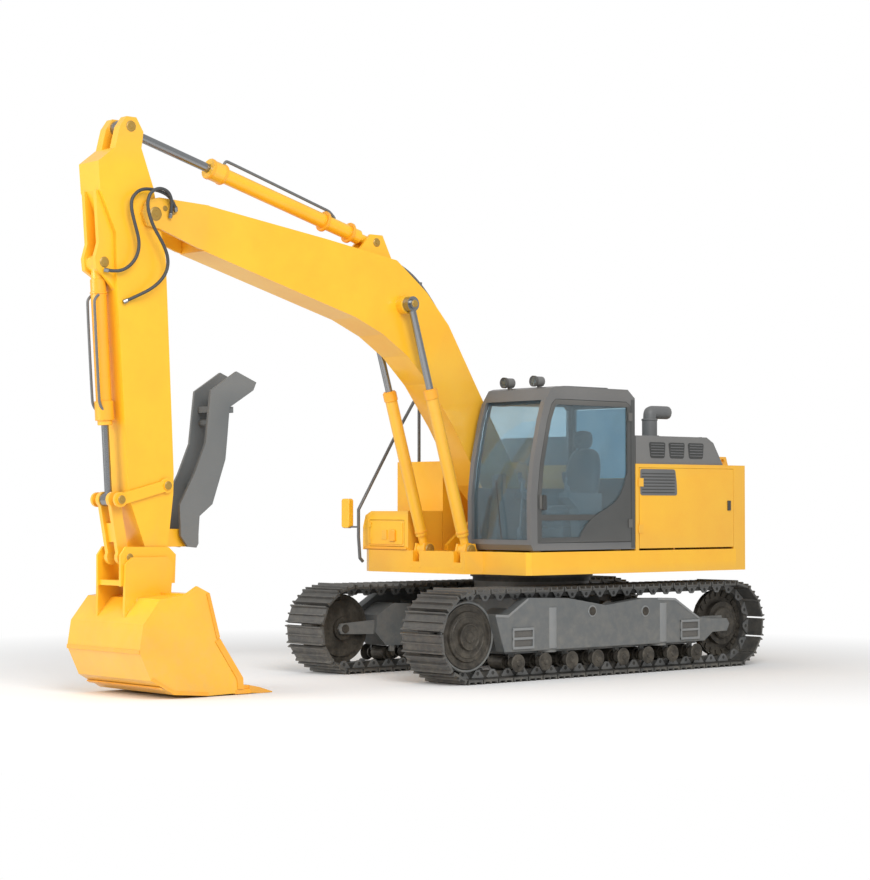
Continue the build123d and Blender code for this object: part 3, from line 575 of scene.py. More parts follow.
class Bench:
    """Shapes pieces from few points and hands them over finished.

    Places are millimetres from the swing axis.
    """

    @staticmethod
    def _soften(shape: Shape, edges: Sequence[bmesh.types.BMEdge], radius: float, segments: int,
                clamp: bool = False) -> None:
        """Rounds edges of a shape.

        Args:
            shape: the shape.
            edges: its edges to round.
            radius: how far.
            segments: steps across each.
            clamp: whether they stop where they would meet.
        """
        bmesh.ops.bevel(shape, geom=edges, offset=radius / 1000, segments=segments, profile=0.5,
                        material=-1, affect="EDGES", clamp_overlap=clamp)

    @staticmethod
    def _turn(shape: Shape, axis: Vector, centre: Vector) -> None:
        """Turns a shape's Z to an axis and moves it to its place.

        Args:
            shape: the shape.
            axis: where its Z goes.
            centre: where its origin goes.
        """
        turn = axis.to_track_quat("Z", "Y").to_matrix().to_4x4()
        bmesh.ops.transform(shape, matrix=Matrix.Translation(centre) @ turn, verts=shape.verts)

    @classmethod
    def block(cls, low: Point, high: Point, round_off: float = 8.0) -> Shape:
        """An upright block with rounded edges.

        Args:
            low: its lowest corner.
            high: its highest corner.
            round_off: radius of its edges.

        Returns:
            The shape.
        """
        a, b = MACHINE.at(*low), MACHINE.at(*high)
        shape = bmesh.new()
        bmesh.ops.create_cube(shape, size=1.0)
        bmesh.ops.scale(shape, vec=b - a, verts=shape.verts)
        bmesh.ops.translate(shape, vec=(a + b) / 2, verts=shape.verts)
        if round_off:
            cls._soften(shape, shape.edges[:], round_off, 3)
        return shape

    @classmethod
    def rod(cls, start: Point, end: Point, radius: float, round_off: float = 4.0,
            segments: int = 32) -> Shape:
        """A round bar with softened rims.

        Args:
            start: the middle of one end.
            end: the middle of the other end.
            radius: its radius.
            round_off: radius of its rims.
            segments: steps round it.

        Returns:
            The shape.
        """
        a, b = MACHINE.at(*start), MACHINE.at(*end)
        shape = bmesh.new()
        bmesh.ops.create_cone(shape, cap_ends=True, segments=segments, radius1=radius / 1000,
                              radius2=radius / 1000, depth=(b - a).length)
        if round_off:
            rims = [edge for edge in shape.edges
                    if abs(edge.verts[0].co.z - edge.verts[1].co.z) < 1e-6]
            cls._soften(shape, rims, round_off, 2)
        cls._turn(shape, b - a, (a + b) / 2)
        return shape

    @classmethod
    def turned(cls, profile: Sequence[Pair], centre: Point, axis: Point, steps: int = 32) -> Shape:
        """A shape turned on a lathe.

        Args:
            profile: radius and distance along the axis, from pole to pole.
            centre: where distance 0 is.
            axis: the direction of the axis.
            steps: steps round it.

        Returns:
            The shape.
        """
        shape = bmesh.new()
        verts = [shape.verts.new((radius / 1000, 0.0, along / 1000)) for radius, along in profile]
        edges = [shape.edges.new(pair) for pair in zip(verts, verts[1:])]
        bmesh.ops.spin(shape, geom=verts + edges, cent=(0, 0, 0), axis=(0, 0, 1),
                       angle=2 * math.pi, steps=steps, use_merge=True)
        bmesh.ops.remove_doubles(shape, verts=shape.verts, dist=1e-5)
        cls._turn(shape, Vector(axis), MACHINE.at(*centre))
        return shape

    @classmethod
    def plate(cls, outline: Sequence[Pair], across: str, low: float, high: float,
              corner: float = 0.0, rim: float = 3.0) -> Shape:
        """A plate cut to an outline.

        Args:
            outline: its corners in the plane that it lies in.
            across: the axis that it is thick along: X, Y or Z.
            low: where it starts on that axis.
            high: where it ends.
            corner: radius of its corners.
            rim: radius of its rims.

        Returns:
            The shape.
        """
        place = {"X": lambda u, v, w: (w, u, v), "Y": lambda u, v, w: (u, w, v),
                 "Z": lambda u, v, w: (u, v, w)}[across]
        shape = bmesh.new()
        face = shape.faces.new([shape.verts.new(MACHINE.at(*place(u, v, low)))
                                for u, v in outline])
        grown = bmesh.ops.extrude_face_region(shape, geom=[face])
        lift = MACHINE.at(*place(0, 0, high)) - MACHINE.at(*place(0, 0, low))
        moved = [item for item in grown["geom"] if isinstance(item, bmesh.types.BMVert)]
        bmesh.ops.translate(shape, vec=lift, verts=moved)
        if corner:
            uprights = [edge for edge in shape.edges
                        if abs((edge.verts[1].co - edge.verts[0].co).dot(lift.normalized()))
                        > lift.length * 0.99]
            cls._soften(shape, uprights, corner, 6, clamp=True)
        bmesh.ops.recalc_face_normals(shape, faces=shape.faces)
        if rim:
            sharp = [edge for edge in shape.edges if edge.calc_face_angle(0) > 1.2]
            cls._soften(shape, sharp, rim, 2, clamp=True)
        return shape

    @staticmethod
    def cushion(low: Point, high: Point, crown: float, cuts: int = 9) -> Shape:
        """A stuffed cushion: full in the middle, drawn in at its corners.

        Args:
            low: its lowest corner.
            high: its highest corner.
            crown: how far its faces stand out in the middle.
            cuts: cuts along each edge.

        Returns:
            The shape.
        """
        a, b = MACHINE.at(*low), MACHINE.at(*high)
        half = (b - a) / 2
        shape = bmesh.new()
        bmesh.ops.create_cube(shape, size=2.0)
        bmesh.ops.subdivide_edges(shape, edges=shape.edges[:], cuts=cuts, use_grid_fill=True)
        for vert in shape.verts:
            u, v, w = vert.co
            pull = 1 - 0.10 * (u * u * v * v + v * v * w * w + u * u * w * w)
            if abs(w) > 0.999:
                swell = crown / 1000 * (1 - u ** 4) * (1 - v ** 4)
            else:
                fall = 1 - v ** 4 if abs(u) > 0.999 else 1 - u ** 4
                swell = crown / 1000 * (1 - w ** 4) * fall * 0.6
            away = Vector([part if abs(part) > 0.999 else 0 for part in (u, v, w)])
            vert.co = Vector((u * half.x, v * half.y, w * half.z)) * pull
            if away.length:
                vert.co += away.normalized() * swell
        for _ in range(3):
            bmesh.ops.smooth_vert(shape, verts=shape.verts, factor=0.4, use_axis_x=True,
                                  use_axis_y=True, use_axis_z=True)
        bmesh.ops.translate(shape, vec=(a + b) / 2, verts=shape.verts)
        return shape

    @staticmethod
    def join(shapes: Iterable[Shape]) -> Shape:
        """Several shapes as one.

        Args:
            shapes: the shapes, which are used up.

        Returns:
            The joined shape.
        """
        whole = bmesh.new()
        for shape in shapes:
            part = bpy.data.meshes.new("part")
            shape.to_mesh(part)
            shape.free()
            whole.from_mesh(part)
            bpy.data.meshes.remove(part)
        return whole

    @staticmethod
    def _finished(name: str, mesh: bpy.types.Mesh, finish: Finish, body: str) -> bpy.types.Object:
        """A mesh as a piece of the machine.

        Args:
            name: name of the piece.
            mesh: its mesh.
            finish: its finish.
            body: the moving body that it rides on.

        Returns:
            The piece.
        """
        mesh.materials.append(WORKSHOP.finish(finish))
        piece = placed(name, mesh)
        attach(piece, body)
        log.info("made %s", name)
        return piece

    @classmethod
    def keep(cls, name: str, shape: Shape | list[Shape], finish: Finish, body: str,
             smooth: bool = False) -> bpy.types.Object:
        """Turns a shape, or several as one, into a finished piece.

        Args:
            name: name of the piece.
            shape: its shape or shapes, which are used up.
            finish: its finish.
            body: the moving body that it rides on.
            smooth: whether it is shaded smooth all over.

        Returns:
            The piece.
        """
        if isinstance(shape, list):
            shape = cls.join(shape)
        bmesh.ops.recalc_face_normals(shape, faces=shape.faces)
        mesh = bpy.data.meshes.new(name)
        shape.to_mesh(mesh)
        shape.free()
        for polygon in mesh.polygons:
            polygon.use_smooth = smooth
        return cls._finished(name, mesh, finish, body)

    @staticmethod
    def line(name: str, route: Sequence[Point], radius: float) -> bpy.types.Object:
        """A smooth round line of one open spline.

        Args:
            name: name of the piece.
            route: the points that it follows.
            radius: its radius.

        Returns:
            The curve, not yet on any body.
        """
        data = bpy.data.curves.new(name, "CURVE")
        data.dimensions = "3D"
        data.bevel_depth = radius / 1000
        data.bevel_resolution = 4
        data.resolution_u = 8
        data.use_fill_caps = True
        spline = data.splines.new("NURBS")
        spline.points.add(len(route) - 1)
        for point, place in zip(spline.points, route):
            point.co = (*MACHINE.at(*place), 1.0)
        spline.order_u = 3
        spline.use_endpoint_u = True
        return placed(name, data)

    @classmethod
    def pipe(cls, name: str, route: Sequence[Point], radius: float, finish: Finish,
             body: str) -> bpy.types.Object:
        """A rigid pipe, kept as a mesh.

        Args:
            name: name of the piece.
            route: the points that it follows.
            radius: its radius.
            finish: its finish.
            body: the body that it rides on.

        Returns:
            The piece.
        """
        curve = cls.line(f"{name}_route", route, radius)
        bpy.context.view_layer.update()
        ready = curve.evaluated_get(bpy.context.evaluated_depsgraph_get())
        mesh = bpy.data.meshes.new_from_object(ready)
        mesh.name = name
        bpy.data.objects.remove(curve)
        mesh.materials.clear()
        return cls._finished(name, mesh, finish, body)


@dataclass
class Track:
    """Links, covers, caps, skirt and steps on one track and its frame.

    Args:
        side: left or right.
        sign: 1 on the left and -1 on the right.
        gauge: between the two tracks' centre lines.
        wheel_z: height of the wheels' axles.
        half_base: half the distance between the wheels' axles.
        chain_outer: radius of the shoes' inner faces round a wheel.
        shoe_count: shoes round the loop.
        straight_shoes: shoes on each straight run.
        frame_face: from the centre line to the frame's outer face.
        rollers: rollers below.
        roller_pitch: between two of them.
        roller_z: height of their axles.
    """

    side: str
    sign: int
    gauge: float = 1900.0
    wheel_z: float = 475.0
    half_base: float = 1974.3
    chain_outer: float = 430.0
    shoe_count: int = 51
    straight_shoes: int = 19
    frame_face: float = 288.0
    rollers: int = 8
    roller_pitch: float = 386.0
    roller_z: float = 185.6

    def __post_init__(self) -> None:
        """Works out where the track lies and which way is outwards."""
        self.middle = self.sign * self.gauge / 2
        self.out = (0, self.sign, 0)

    def build(self) -> None:
        """Dresses the track from the chain outwards."""
        self._links()
        self._skirt()
        self._wheels()
        self._frame_fittings()

    def _keep(self, name: str, shape: Shape | list[Shape], finish: Finish) -> None:
        """Keeps a piece of this side."""
        Bench.keep(f"{name}_{self.side}", shape, finish, "undercarriage")

    def _outward(self, near: float, far: float) -> tuple[float, float]:
        """Two distances outwards from the centre line, as places from low to high."""
        low, high = sorted((self.middle + self.sign * near, self.middle + self.sign * far))
        return low, high

    def _block(self, low: Point, high: Point, round_off: float) -> Shape:
        """A block with its corners' Y counted outwards from the centre line."""
        near, far = self._outward(low[1], high[1])
        return Bench.block((low[0], near, low[2]), (high[0], far, high[2]), round_off)

    def _stations(self) -> Iterable[Point]:
        """Goes round the loop from link to link.

        Returns:
            For each link, its place forward and up from the wheels' middle, and its turn.
        """
        pitch = 2 * math.pi * self.chain_outer / (self.shoe_count - 2 * self.straight_shoes)
        base = self.straight_shoes * pitch
        arc = math.pi * self.chain_outer
        for number in range(self.shoe_count):
            along = (number + 0.5) * pitch
            if along < base:
                yield along - base / 2, self.chain_outer, 0.0
            elif base + arc <= along < 2 * base + arc:
                yield base / 2 - (along - base - arc), -self.chain_outer, math.pi
            else:
                front = along < base + arc
                turn = ((along - base) / self.chain_outer if front
                        else math.pi + (along - 2 * base - arc) / self.chain_outer)
                centre = base / 2 if front else -base / 2
                yield (centre + self.chain_outer * math.sin(turn),
                       self.chain_outer * math.cos(turn), turn)

    def _links(self) -> None:
        """Three-cornered link plates, two to a shoe, with dark discs that paint the shade in each
        plate's round eye.
        """
        plates, eyes = [], []
        for x, z, turn in self._stations():
            cosine, sine = math.cos(turn), math.sin(turn)

            def around(along: float, down: float) -> Pair:
                """A place on this link, forward and up."""
                return (x + along * cosine - down * sine,
                        self.wheel_z + z - along * sine - down * cosine)

            corners = [around(u, w) for u, w in ((-88, 3), (88, 3), (26, 84), (-26, 84))]
            eye = around(0, 46)
            for low in (self.middle - 106, self.middle + 90):
                plates.append(Bench.plate(corners, "Y", low, low + 16, corner=12, rim=2))
            # Dark discs on the plates' outer faces: painted shade where the eye holes would be.
            for low in (self.middle - 108, self.middle + 104):
                eyes.append(Bench.rod((eye[0], low, eye[1]), (eye[0], low + 4, eye[1]), 20, 1, 12))
        self._keep("track_links", plates, Finish.LINK)
        self._keep("track_link_hole_shade", eyes, Finish.DARK)

    def _skirt(self) -> None:
        """The outer side of the track frame, out to near the shoes' edge."""
        low, high = self._outward(160, self.frame_face)
        outline = [(1560, 305), (1622, 475), (1690, 693), (1514, 683), (1233, 850), (657, 832),
                   (92, 742), (-492, 800), (-982, 787), (-1370, 567), (-1600, 545), (-1600, 400),
                   (-1460, 305)]
        tail = [(-1555, 395), (-1555, 545), (-1835, 541), (-1880, 480), (-1835, 400)]
        tail_step = 6 if self.sign > 0 else 0
        self._keep("frame_skirt", [Bench.plate(outline, "Y", low, high, rim=7),
                                   Bench.plate(tail, "Y", low, high - tail_step, rim=5)],
                   Finish.FRAME_GREY)

    def _wheels(self) -> None:
        """Ringed covers on idler and sprocket, and the roller caps."""
        front = (self.half_base, self.middle, self.wheel_z)
        rear = (-self.half_base, self.middle, self.wheel_z)
        cover = [(0, 216), (46, 216), (52, 222), (60, 222), (66, 214), (112, 214), (120, 222),
                 (132, 222), (140, 192), (196, 192), (204, 198), (214, 198), (222, 191), (252, 191),
                 (262, 172), (300, 172), (312, 178), (326, 178), (332, 168), (332, 138), (0, 138)]
        self._keep("idler_cover", Bench.turned(cover, front, self.out, 64), Finish.HUB)
        rim = [(334, 160), (336, 172), (352, 176), (362, 168), (362, 120), (334, 120), (334, 160)]
        self._keep("idler_rim", Bench.turned(rim, front, self.out, 64), Finish.FRAME_GREY)
        hub = [(0, 150), (60, 150), (66, 142), (150, 138), (168, 130), (180, 112), (180, 100),
               (0, 100)]
        self._keep("sprocket_cap", Bench.turned(hub, rear, self.out, 48), Finish.HUB)
        teeth = []
        tooth_count = 21
        for number in range(tooth_count):
            turn = 2 * math.pi * number / tooth_count
            cosine, sine = math.cos(turn), math.sin(turn)
            outline = [(rear[0] + r * cosine - t * sine, rear[2] + r * sine + t * cosine)
                       for r, t in ((300, -34), (358, -20), (358, 20), (300, 34))]
            teeth.append(Bench.plate(outline, "Y", self.middle - 46, self.middle + 46, corner=8,
                                     rim=2))
        self._keep("sprocket_teeth", teeth, Finish.HUB)
        cap = [(0, 284), (30, 284), (36, 276), (78, 272), (92, 266), (92, 258), (0, 258)]
        places = [(number - (self.rollers - 1) / 2) * self.roller_pitch
                  for number in range(self.rollers)]
        self._keep("roller_caps", [Bench.turned(cap, (x, self.middle, self.roller_z), self.out)
                                   for x in places], Finish.HUB)

    def _frame_fittings(self) -> None:
        """Axle caps, step ladders with painted shade behind them, half round covers and edge strips
        on the track frame.
        """
        def at(x: float, out: float, z: float) -> Point:
            """A place given outwards from the centre line."""
            return (x, self.middle + self.sign * out, z)

        face = self.frame_face
        ladders = (1310, -1210)
        caps, rings, steps = [], [], []
        for x, z in ((303, 686), (-507, 660)):
            caps.append(Bench.rod(at(x, face - 5, z), at(x, face + 14, z), 46, 5))
            rings.append(Bench.rod(at(x, face - 5, z), at(x, face + 5, z), 62, 3))
        self._keep("axle_caps", caps, Finish.HUB)
        for x in ladders:
            for end in (x - 150, x + 130):
                steps.append(self._block((end, face - 4, 330), (end + 20, face + 16, 545), 3))
            for z in (330, 425, 520):
                steps.append(self._block((x - 150, face - 4, z), (x + 150, face + 18, z + 26), 4))
        self._keep("frame_steps", steps + rings, Finish.STEP)
        # Flat dark plates behind the ladders: painted shade of recessed step wells.
        self._keep("frame_step_well_shade", [
            self._block((x - 128, face - 6, 352), (x + 128, face + 2, 522), 0) for x in ladders],
            Finish.DARK)
        strips = []
        for start, end in (((1690, 693), (1514, 683)), ((1514, 683), (1233, 850)),
                           ((-700, 800), (-982, 787)), ((-982, 787), (-1370, 567))):
            outline = [start, end, (end[0], end[1] - 26), (start[0], start[1] - 26)]
            strips.append(Bench.plate(outline, "Y", *self._outward(face - 4, face + 5), rim=1))
        self._keep("frame_edge_strips", strips, Finish.STEP)
        self._keep("frame_drums", [
            Bench.rod(at(x, face - 75, 318), at(x, face - 75, 742), 92, 6, 48)
            for x in (880, -790)], Finish.STEP)


@dataclass
class House:
    """Trim on the hood, service doors, tool box, exhaust and mirror.

    Args:
        half_width: from the middle to a side.
        hood_top: height of the hood.
        deck_front: how far the deck reaches forward.
    """

    half_width: float = 1232.0
    hood_top: float = 2550.0
    deck_front: float = 1400.0

    def build(self) -> None:
        """Adds what the frame leaves plain."""
        self._hood()
        self._side_panels()
        self._tool_box()
        self._exhaust()
        self._mirror()
        self._guard()

    def _hood(self) -> None:
        """Three louvred windows on each side of the hood, grey slats over dark plates that paint
        the shade in the openings, and ribs on its top.
        """
        for side, face, out in (("left", 1215.0, 1), ("right", -1190.0, -1)):
            shade_plates, slats = [], []
            for rear, front in ((-875, -600), (-1185, -910), (-1495, -1220)):
                outline = [(rear + 20, 2482), (front + 4, 2482), (front - 20, 2310),
                           (rear + 34, 2310)]
                low, high = sorted((face - out * 2, face + out * 5))
                # Dark plate behind the slats: painted shade inside the louvred opening.
                shade_plates.append(Bench.plate(outline, "Y", low, high, corner=26, rim=2))
                for number in range(5):
                    z = 2336 + number * 30
                    low, high = sorted((face + out * 3, face + out * 10))
                    slats.append(Bench.block((rear + 44, low, z), (front - 24, high, z + 9), 2))
            Bench.keep(f"hood_louvre_shade_{side}", shade_plates, Finish.DARK, "engine_hood")
            Bench.keep(f"hood_slats_{side}", slats, Finish.HOOD_GREY, "engine_hood")
        top = self.hood_top
        ribs = [Bench.block((x, -1150, top - 3), (x + 14, 1175, top + 5), 3) for x in (-600, -1500)]
        ribs.append(Bench.block((-460, -900, top - 3), (-420, 900, top + 14), 5))
        Bench.keep("hood_ribs", ribs, Finish.HOOD_GREY, "engine_hood")

    def _side_panels(self) -> None:
        """The air inlet, with dark bars that paint the shade of its slots, and the latch on each
        service door.
        """
        for side, sign in (("left", 1), ("right", -1)):
            low, high = sorted((sign * (self.half_width - 3), sign * (self.half_width + 5)))
            inlet = [(-440, 2190), (-990, 2190), (-1015, 2050), (-1023, 1905), (-440, 1905)]
            body = f"service_door_{side}"
            Bench.keep(f"side_inlet_{side}", Bench.plate(inlet, "Y", low, high, corner=30, rim=2),
                       Finish.HOOD_GREY, body)
            low, high = sorted((sign * (self.half_width + 3), sign * (self.half_width + 9)))
            # Dark bars on the grey inlet: painted shade of the inlet's slots.
            slats = [Bench.block((-980, low, z), (-460, high, z + 12), 3)
                     for z in range(1930, 2140, 34)]
            Bench.keep(f"side_inlet_slot_shade_{side}", slats, Finish.DARK, body)
            low, high = sorted((sign * (self.half_width - 2), sign * (self.half_width + 14)))
            latch = Bench.block((-1900, low, 1740), (-1850, high, 1850), 5)
            Bench.keep(f"service_latch_{side}", latch, Finish.DARK, body)

    def _tool_box(self) -> None:
        """A raised panel with a handle on the tool box's door and a rail below it."""
        x = self.deck_front
        outline = [(-1085, 1372), (-545, 1372), (-545, 1622), (-1050, 1622), (-1085, 1560)]
        panel = Bench.plate(outline, "X", x - 2, x + 9, corner=24, rim=4)
        Bench.keep("tool_box_panel", panel, Finish.YELLOW, "tool_box_door")
        outline = [(-750, 1405), (-655, 1405), (-655, 1535), (-750, 1535)]
        grip = Bench.plate(outline, "X", x + 7, x + 30, corner=20, rim=7)
        Bench.keep("tool_box_grip", grip, Finish.YELLOW_DEEP, "tool_box_door")
        rail = Bench.block((x - 40, -1190, 1318), (x + 22, -470, 1344), 8)
        Bench.keep("tool_box_rail", rail, Finish.YELLOW_DEEP, "house")

    def _exhaust(self) -> None:
        """The stack, its clamps and the elbow, with a dark disc in its mouth as painted shade
        inside the pipe.
        """
        x, y, z = -1050.0, 800.0, self.hood_top
        stack = [Bench.rod((x, y, z), (x, y, 2760), 84, 4, 48),
                 Bench.rod((x, y, z + 2), (x, y, z + 22), 108, 6, 48),
                 Bench.rod((x, y, 2735), (x, y, 2758), 90, 6, 48)]
        piece = Bench.keep("exhaust_stack", stack, Finish.HOOD_GREY, "engine_hood")
        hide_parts("exhaust_pipe")
        elbow = [(x, y, 2740), (x, y, 2790), (x - 6, y, 2826), (x - 60, y, 2832),
                 (x - 285, y, 2832)]
        Bench.pipe("exhaust_elbow", elbow, 73, Finish.HOOD_GREY, "engine_hood")
        # Dark disc inside the elbow's end: painted shade of the pipe's inside.
        mouth = Bench.rod((x - 284, y, 2832), (x - 287, y, 2832), 64, 0, 32)
        Bench.keep("exhaust_mouth_shade", mouth, Finish.DARK, "engine_hood")

    def _mirror(self) -> None:
        """The yellow housing round the mirror."""
        x, y = self.deck_front + 100, -1180.0
        outline = [(y - 262, 1548), (y - 128, 1548), (y - 128, 1872), (y - 262, 1872)]
        housing = Bench.plate(outline, "X", x - 34, x + 34, corner=30, rim=10)
        Bench.keep("mirror_housing", housing, Finish.YELLOW, "house")

    def _guard(self) -> None:
        """The folded guard plate between the boom's foot and the cab."""
        outline = [(760, 1320), (860, 1320), (1010, 1560), (1020, 1905), (940, 1915), (860, 1640)]
        plate = Bench.plate(outline, "Y", 262, 268, corner=10, rim=1)
        Bench.keep("guard_plate", plate, Finish.CAB_GREY, "house")


@dataclass
class Cab:
    """Cab trim, door panel, levers and the padded seat.

    Args:
        rear: how far back it reaches.
        front: how far forward.
        right: its inner side.
        left: its outer side.
        roof: height of its roof.
    """

    rear: float = -360.0
    front: float = 1180.0
    right: float = 270.0
    left: float = 1232.0
    roof: float = 3036.0

    def build(self) -> None:
        """Adds what is seen on and through the cab."""
        self._door()
        self._screen()
        self._inside()
        self._seat()
        self._lamps()

    def _door(self) -> None:
        """The dark lower panel with its swept edge, the handle and the rear pillar."""
        sweep = [(-292, 1412), (500, 1412), (455, 1500), (385, 1590), (290, 1665), (160, 1730),
                 (40, 1780), (-66, 1843), (-140, 1920), (-200, 2030), (-240, 2140), (-262, 2260),
                 (-292, 2330)]
        panel = Bench.plate(sweep, "Y", self.left - 30, self.left + 3)
        Bench.keep("door_lower_panel", panel, Finish.DOOR, "cab_door")
        grip = Bench.plate([(980, 1745), (1035, 1745), (1030, 1905), (980, 1905)], "Y",
                           self.left - 2, self.left + 26, corner=16, rim=6)
        Bench.keep("door_grip", grip, Finish.DARK, "cab_door")
        pillar = Bench.plate([(-355, 1345), (-300, 1345), (-300, 2930), (-355, 2930)], "Y",
                             self.left - 4, self.left + 4, corner=10, rim=2)
        Bench.keep("cab_rear_pillar", pillar, Finish.DOOR, "house")

    def _screen(self) -> None:
        """The windscreen's wiper and the roof hatch."""
        y = (self.right + self.left) / 2
        arm = [(1192, y + 40, 1450), (1196, y + 10, 1700), (1176, y - 60, 2060)]
        Bench.pipe("wiper_arm", arm, 7, Finish.DARK, "house")
        hatch = Bench.plate([(-150, 430), (520, 430), (520, 1070), (-150, 1070)], "Z",
                            self.roof - 2, self.roof + 22, corner=60, rim=8)
        Bench.keep("roof_hatch", hatch, Finish.CAB_GREY, "house")

    def _inside(self) -> None:
        """Lever grips and boots, and the glowing pane behind the seat, painted light of the sky in
        the rear window.
        """
        grips, boots = [], []
        up = (0, 0, 1)
        low_boot = [(0, 70), (18, 70), (30, 40), (26, 30), (42, 10), (60, 0), (0, 0)]
        high_boot = [(0, 190), (20, 190), (34, 120), (30, 105), (50, 50), (66, 0), (0, 0)]
        for y in (400.0, 1071.0):
            grips.append(Bench.rod((540, y, 2040), (556, y, 2150), 24, 10, 20))
            boots.append(Bench.turned(low_boot, (505, y, 1932), up, 24))
        for y in (661.0, 841.0):
            boots.append(Bench.turned(high_boot, (800, y, 1371), up, 24))
        Bench.keep("lever_grips", grips, Finish.DARK, "house")
        Bench.keep("lever_boots", boots, Finish.PLASTIC, "house")
        # A glowing pane that casts no shadow: painted light of the sky in the rear window.
        pane = Bench.plate([(290, 2090), (1130, 2090), (1130, 2840), (290, 2840)], "X",
                           self.rear + 8, self.rear + 14, corner=60, rim=0)
        pane_piece = Bench.keep("rear_sky_glow_pane", pane, Finish.PANE, "house")
        pane_piece.visible_shadow = False

    def _seat(self) -> None:
        """Suspension box, seat, back and head cushions."""
        y = (self.right + self.left) / 2
        base = [Bench.block((40, y - 160, 1372), (420, y + 160, 1560), 20),
                Bench.block((20, y - 190, 1560), (450, y + 190, 1640), 25)]
        base_piece = Bench.keep("seat_base", base, Finish.PLASTIC, "house")
        squab_shape = Bench.cushion((0, y - 238, 1642), (518, y + 238, 1778), 22)
        squab = Bench.keep("seat_cushion", squab_shape, Finish.SEAT, "house", smooth=True)
        back_shape = Bench.cushion((-60, y - 226, 1775), (75, y + 226, 2400), 24)
        lean = Matrix.Rotation(math.radians(-9), 4, "Y")
        pivot = MACHINE.at(20, y, 1790)
        bmesh.ops.transform(back_shape, matrix=Matrix.Translation(pivot) @ lean
                            @ Matrix.Translation(-pivot), verts=back_shape.verts)
        back = Bench.keep("seat_back", back_shape, Finish.SEAT, "house", smooth=True)
        head_shape = Bench.cushion((-86, y - 128, 2415), (-8, y + 128, 2590), 14)
        head = Bench.keep("seat_headrest", head_shape, Finish.SEAT, "house", smooth=True)
        posts = [Bench.rod((-48, y + side, 2330), (-48, y + side, 2480), 9, 0, 12)
                 for side in (-60, 60)]
        Bench.keep("headrest_posts", posts, Finish.ROD, "house")
        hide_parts("operator_seat")

    def _lamps(self) -> None:
        """Lenses and rims on the work lamps."""
        lenses, rims = [], []
        for y in (500.0, 952.0):
            place = (self.front - 300, y, self.roof + 62)
            lenses.append(Bench.turned([(0, 6), (30, 4), (46, -4), (0, -4)], place, (1, 0, 0)))
            rims.append(Bench.turned([(46, -20), (46, 8), (52, 12), (58, 8), (58, -20), (46, -20)],
                                     place, (1, 0, 0)))
        Bench.keep("lamp_lenses", lenses, Finish.GLASS, "house")
        Bench.keep("lamp_rims", rims, Finish.DARK, "house")


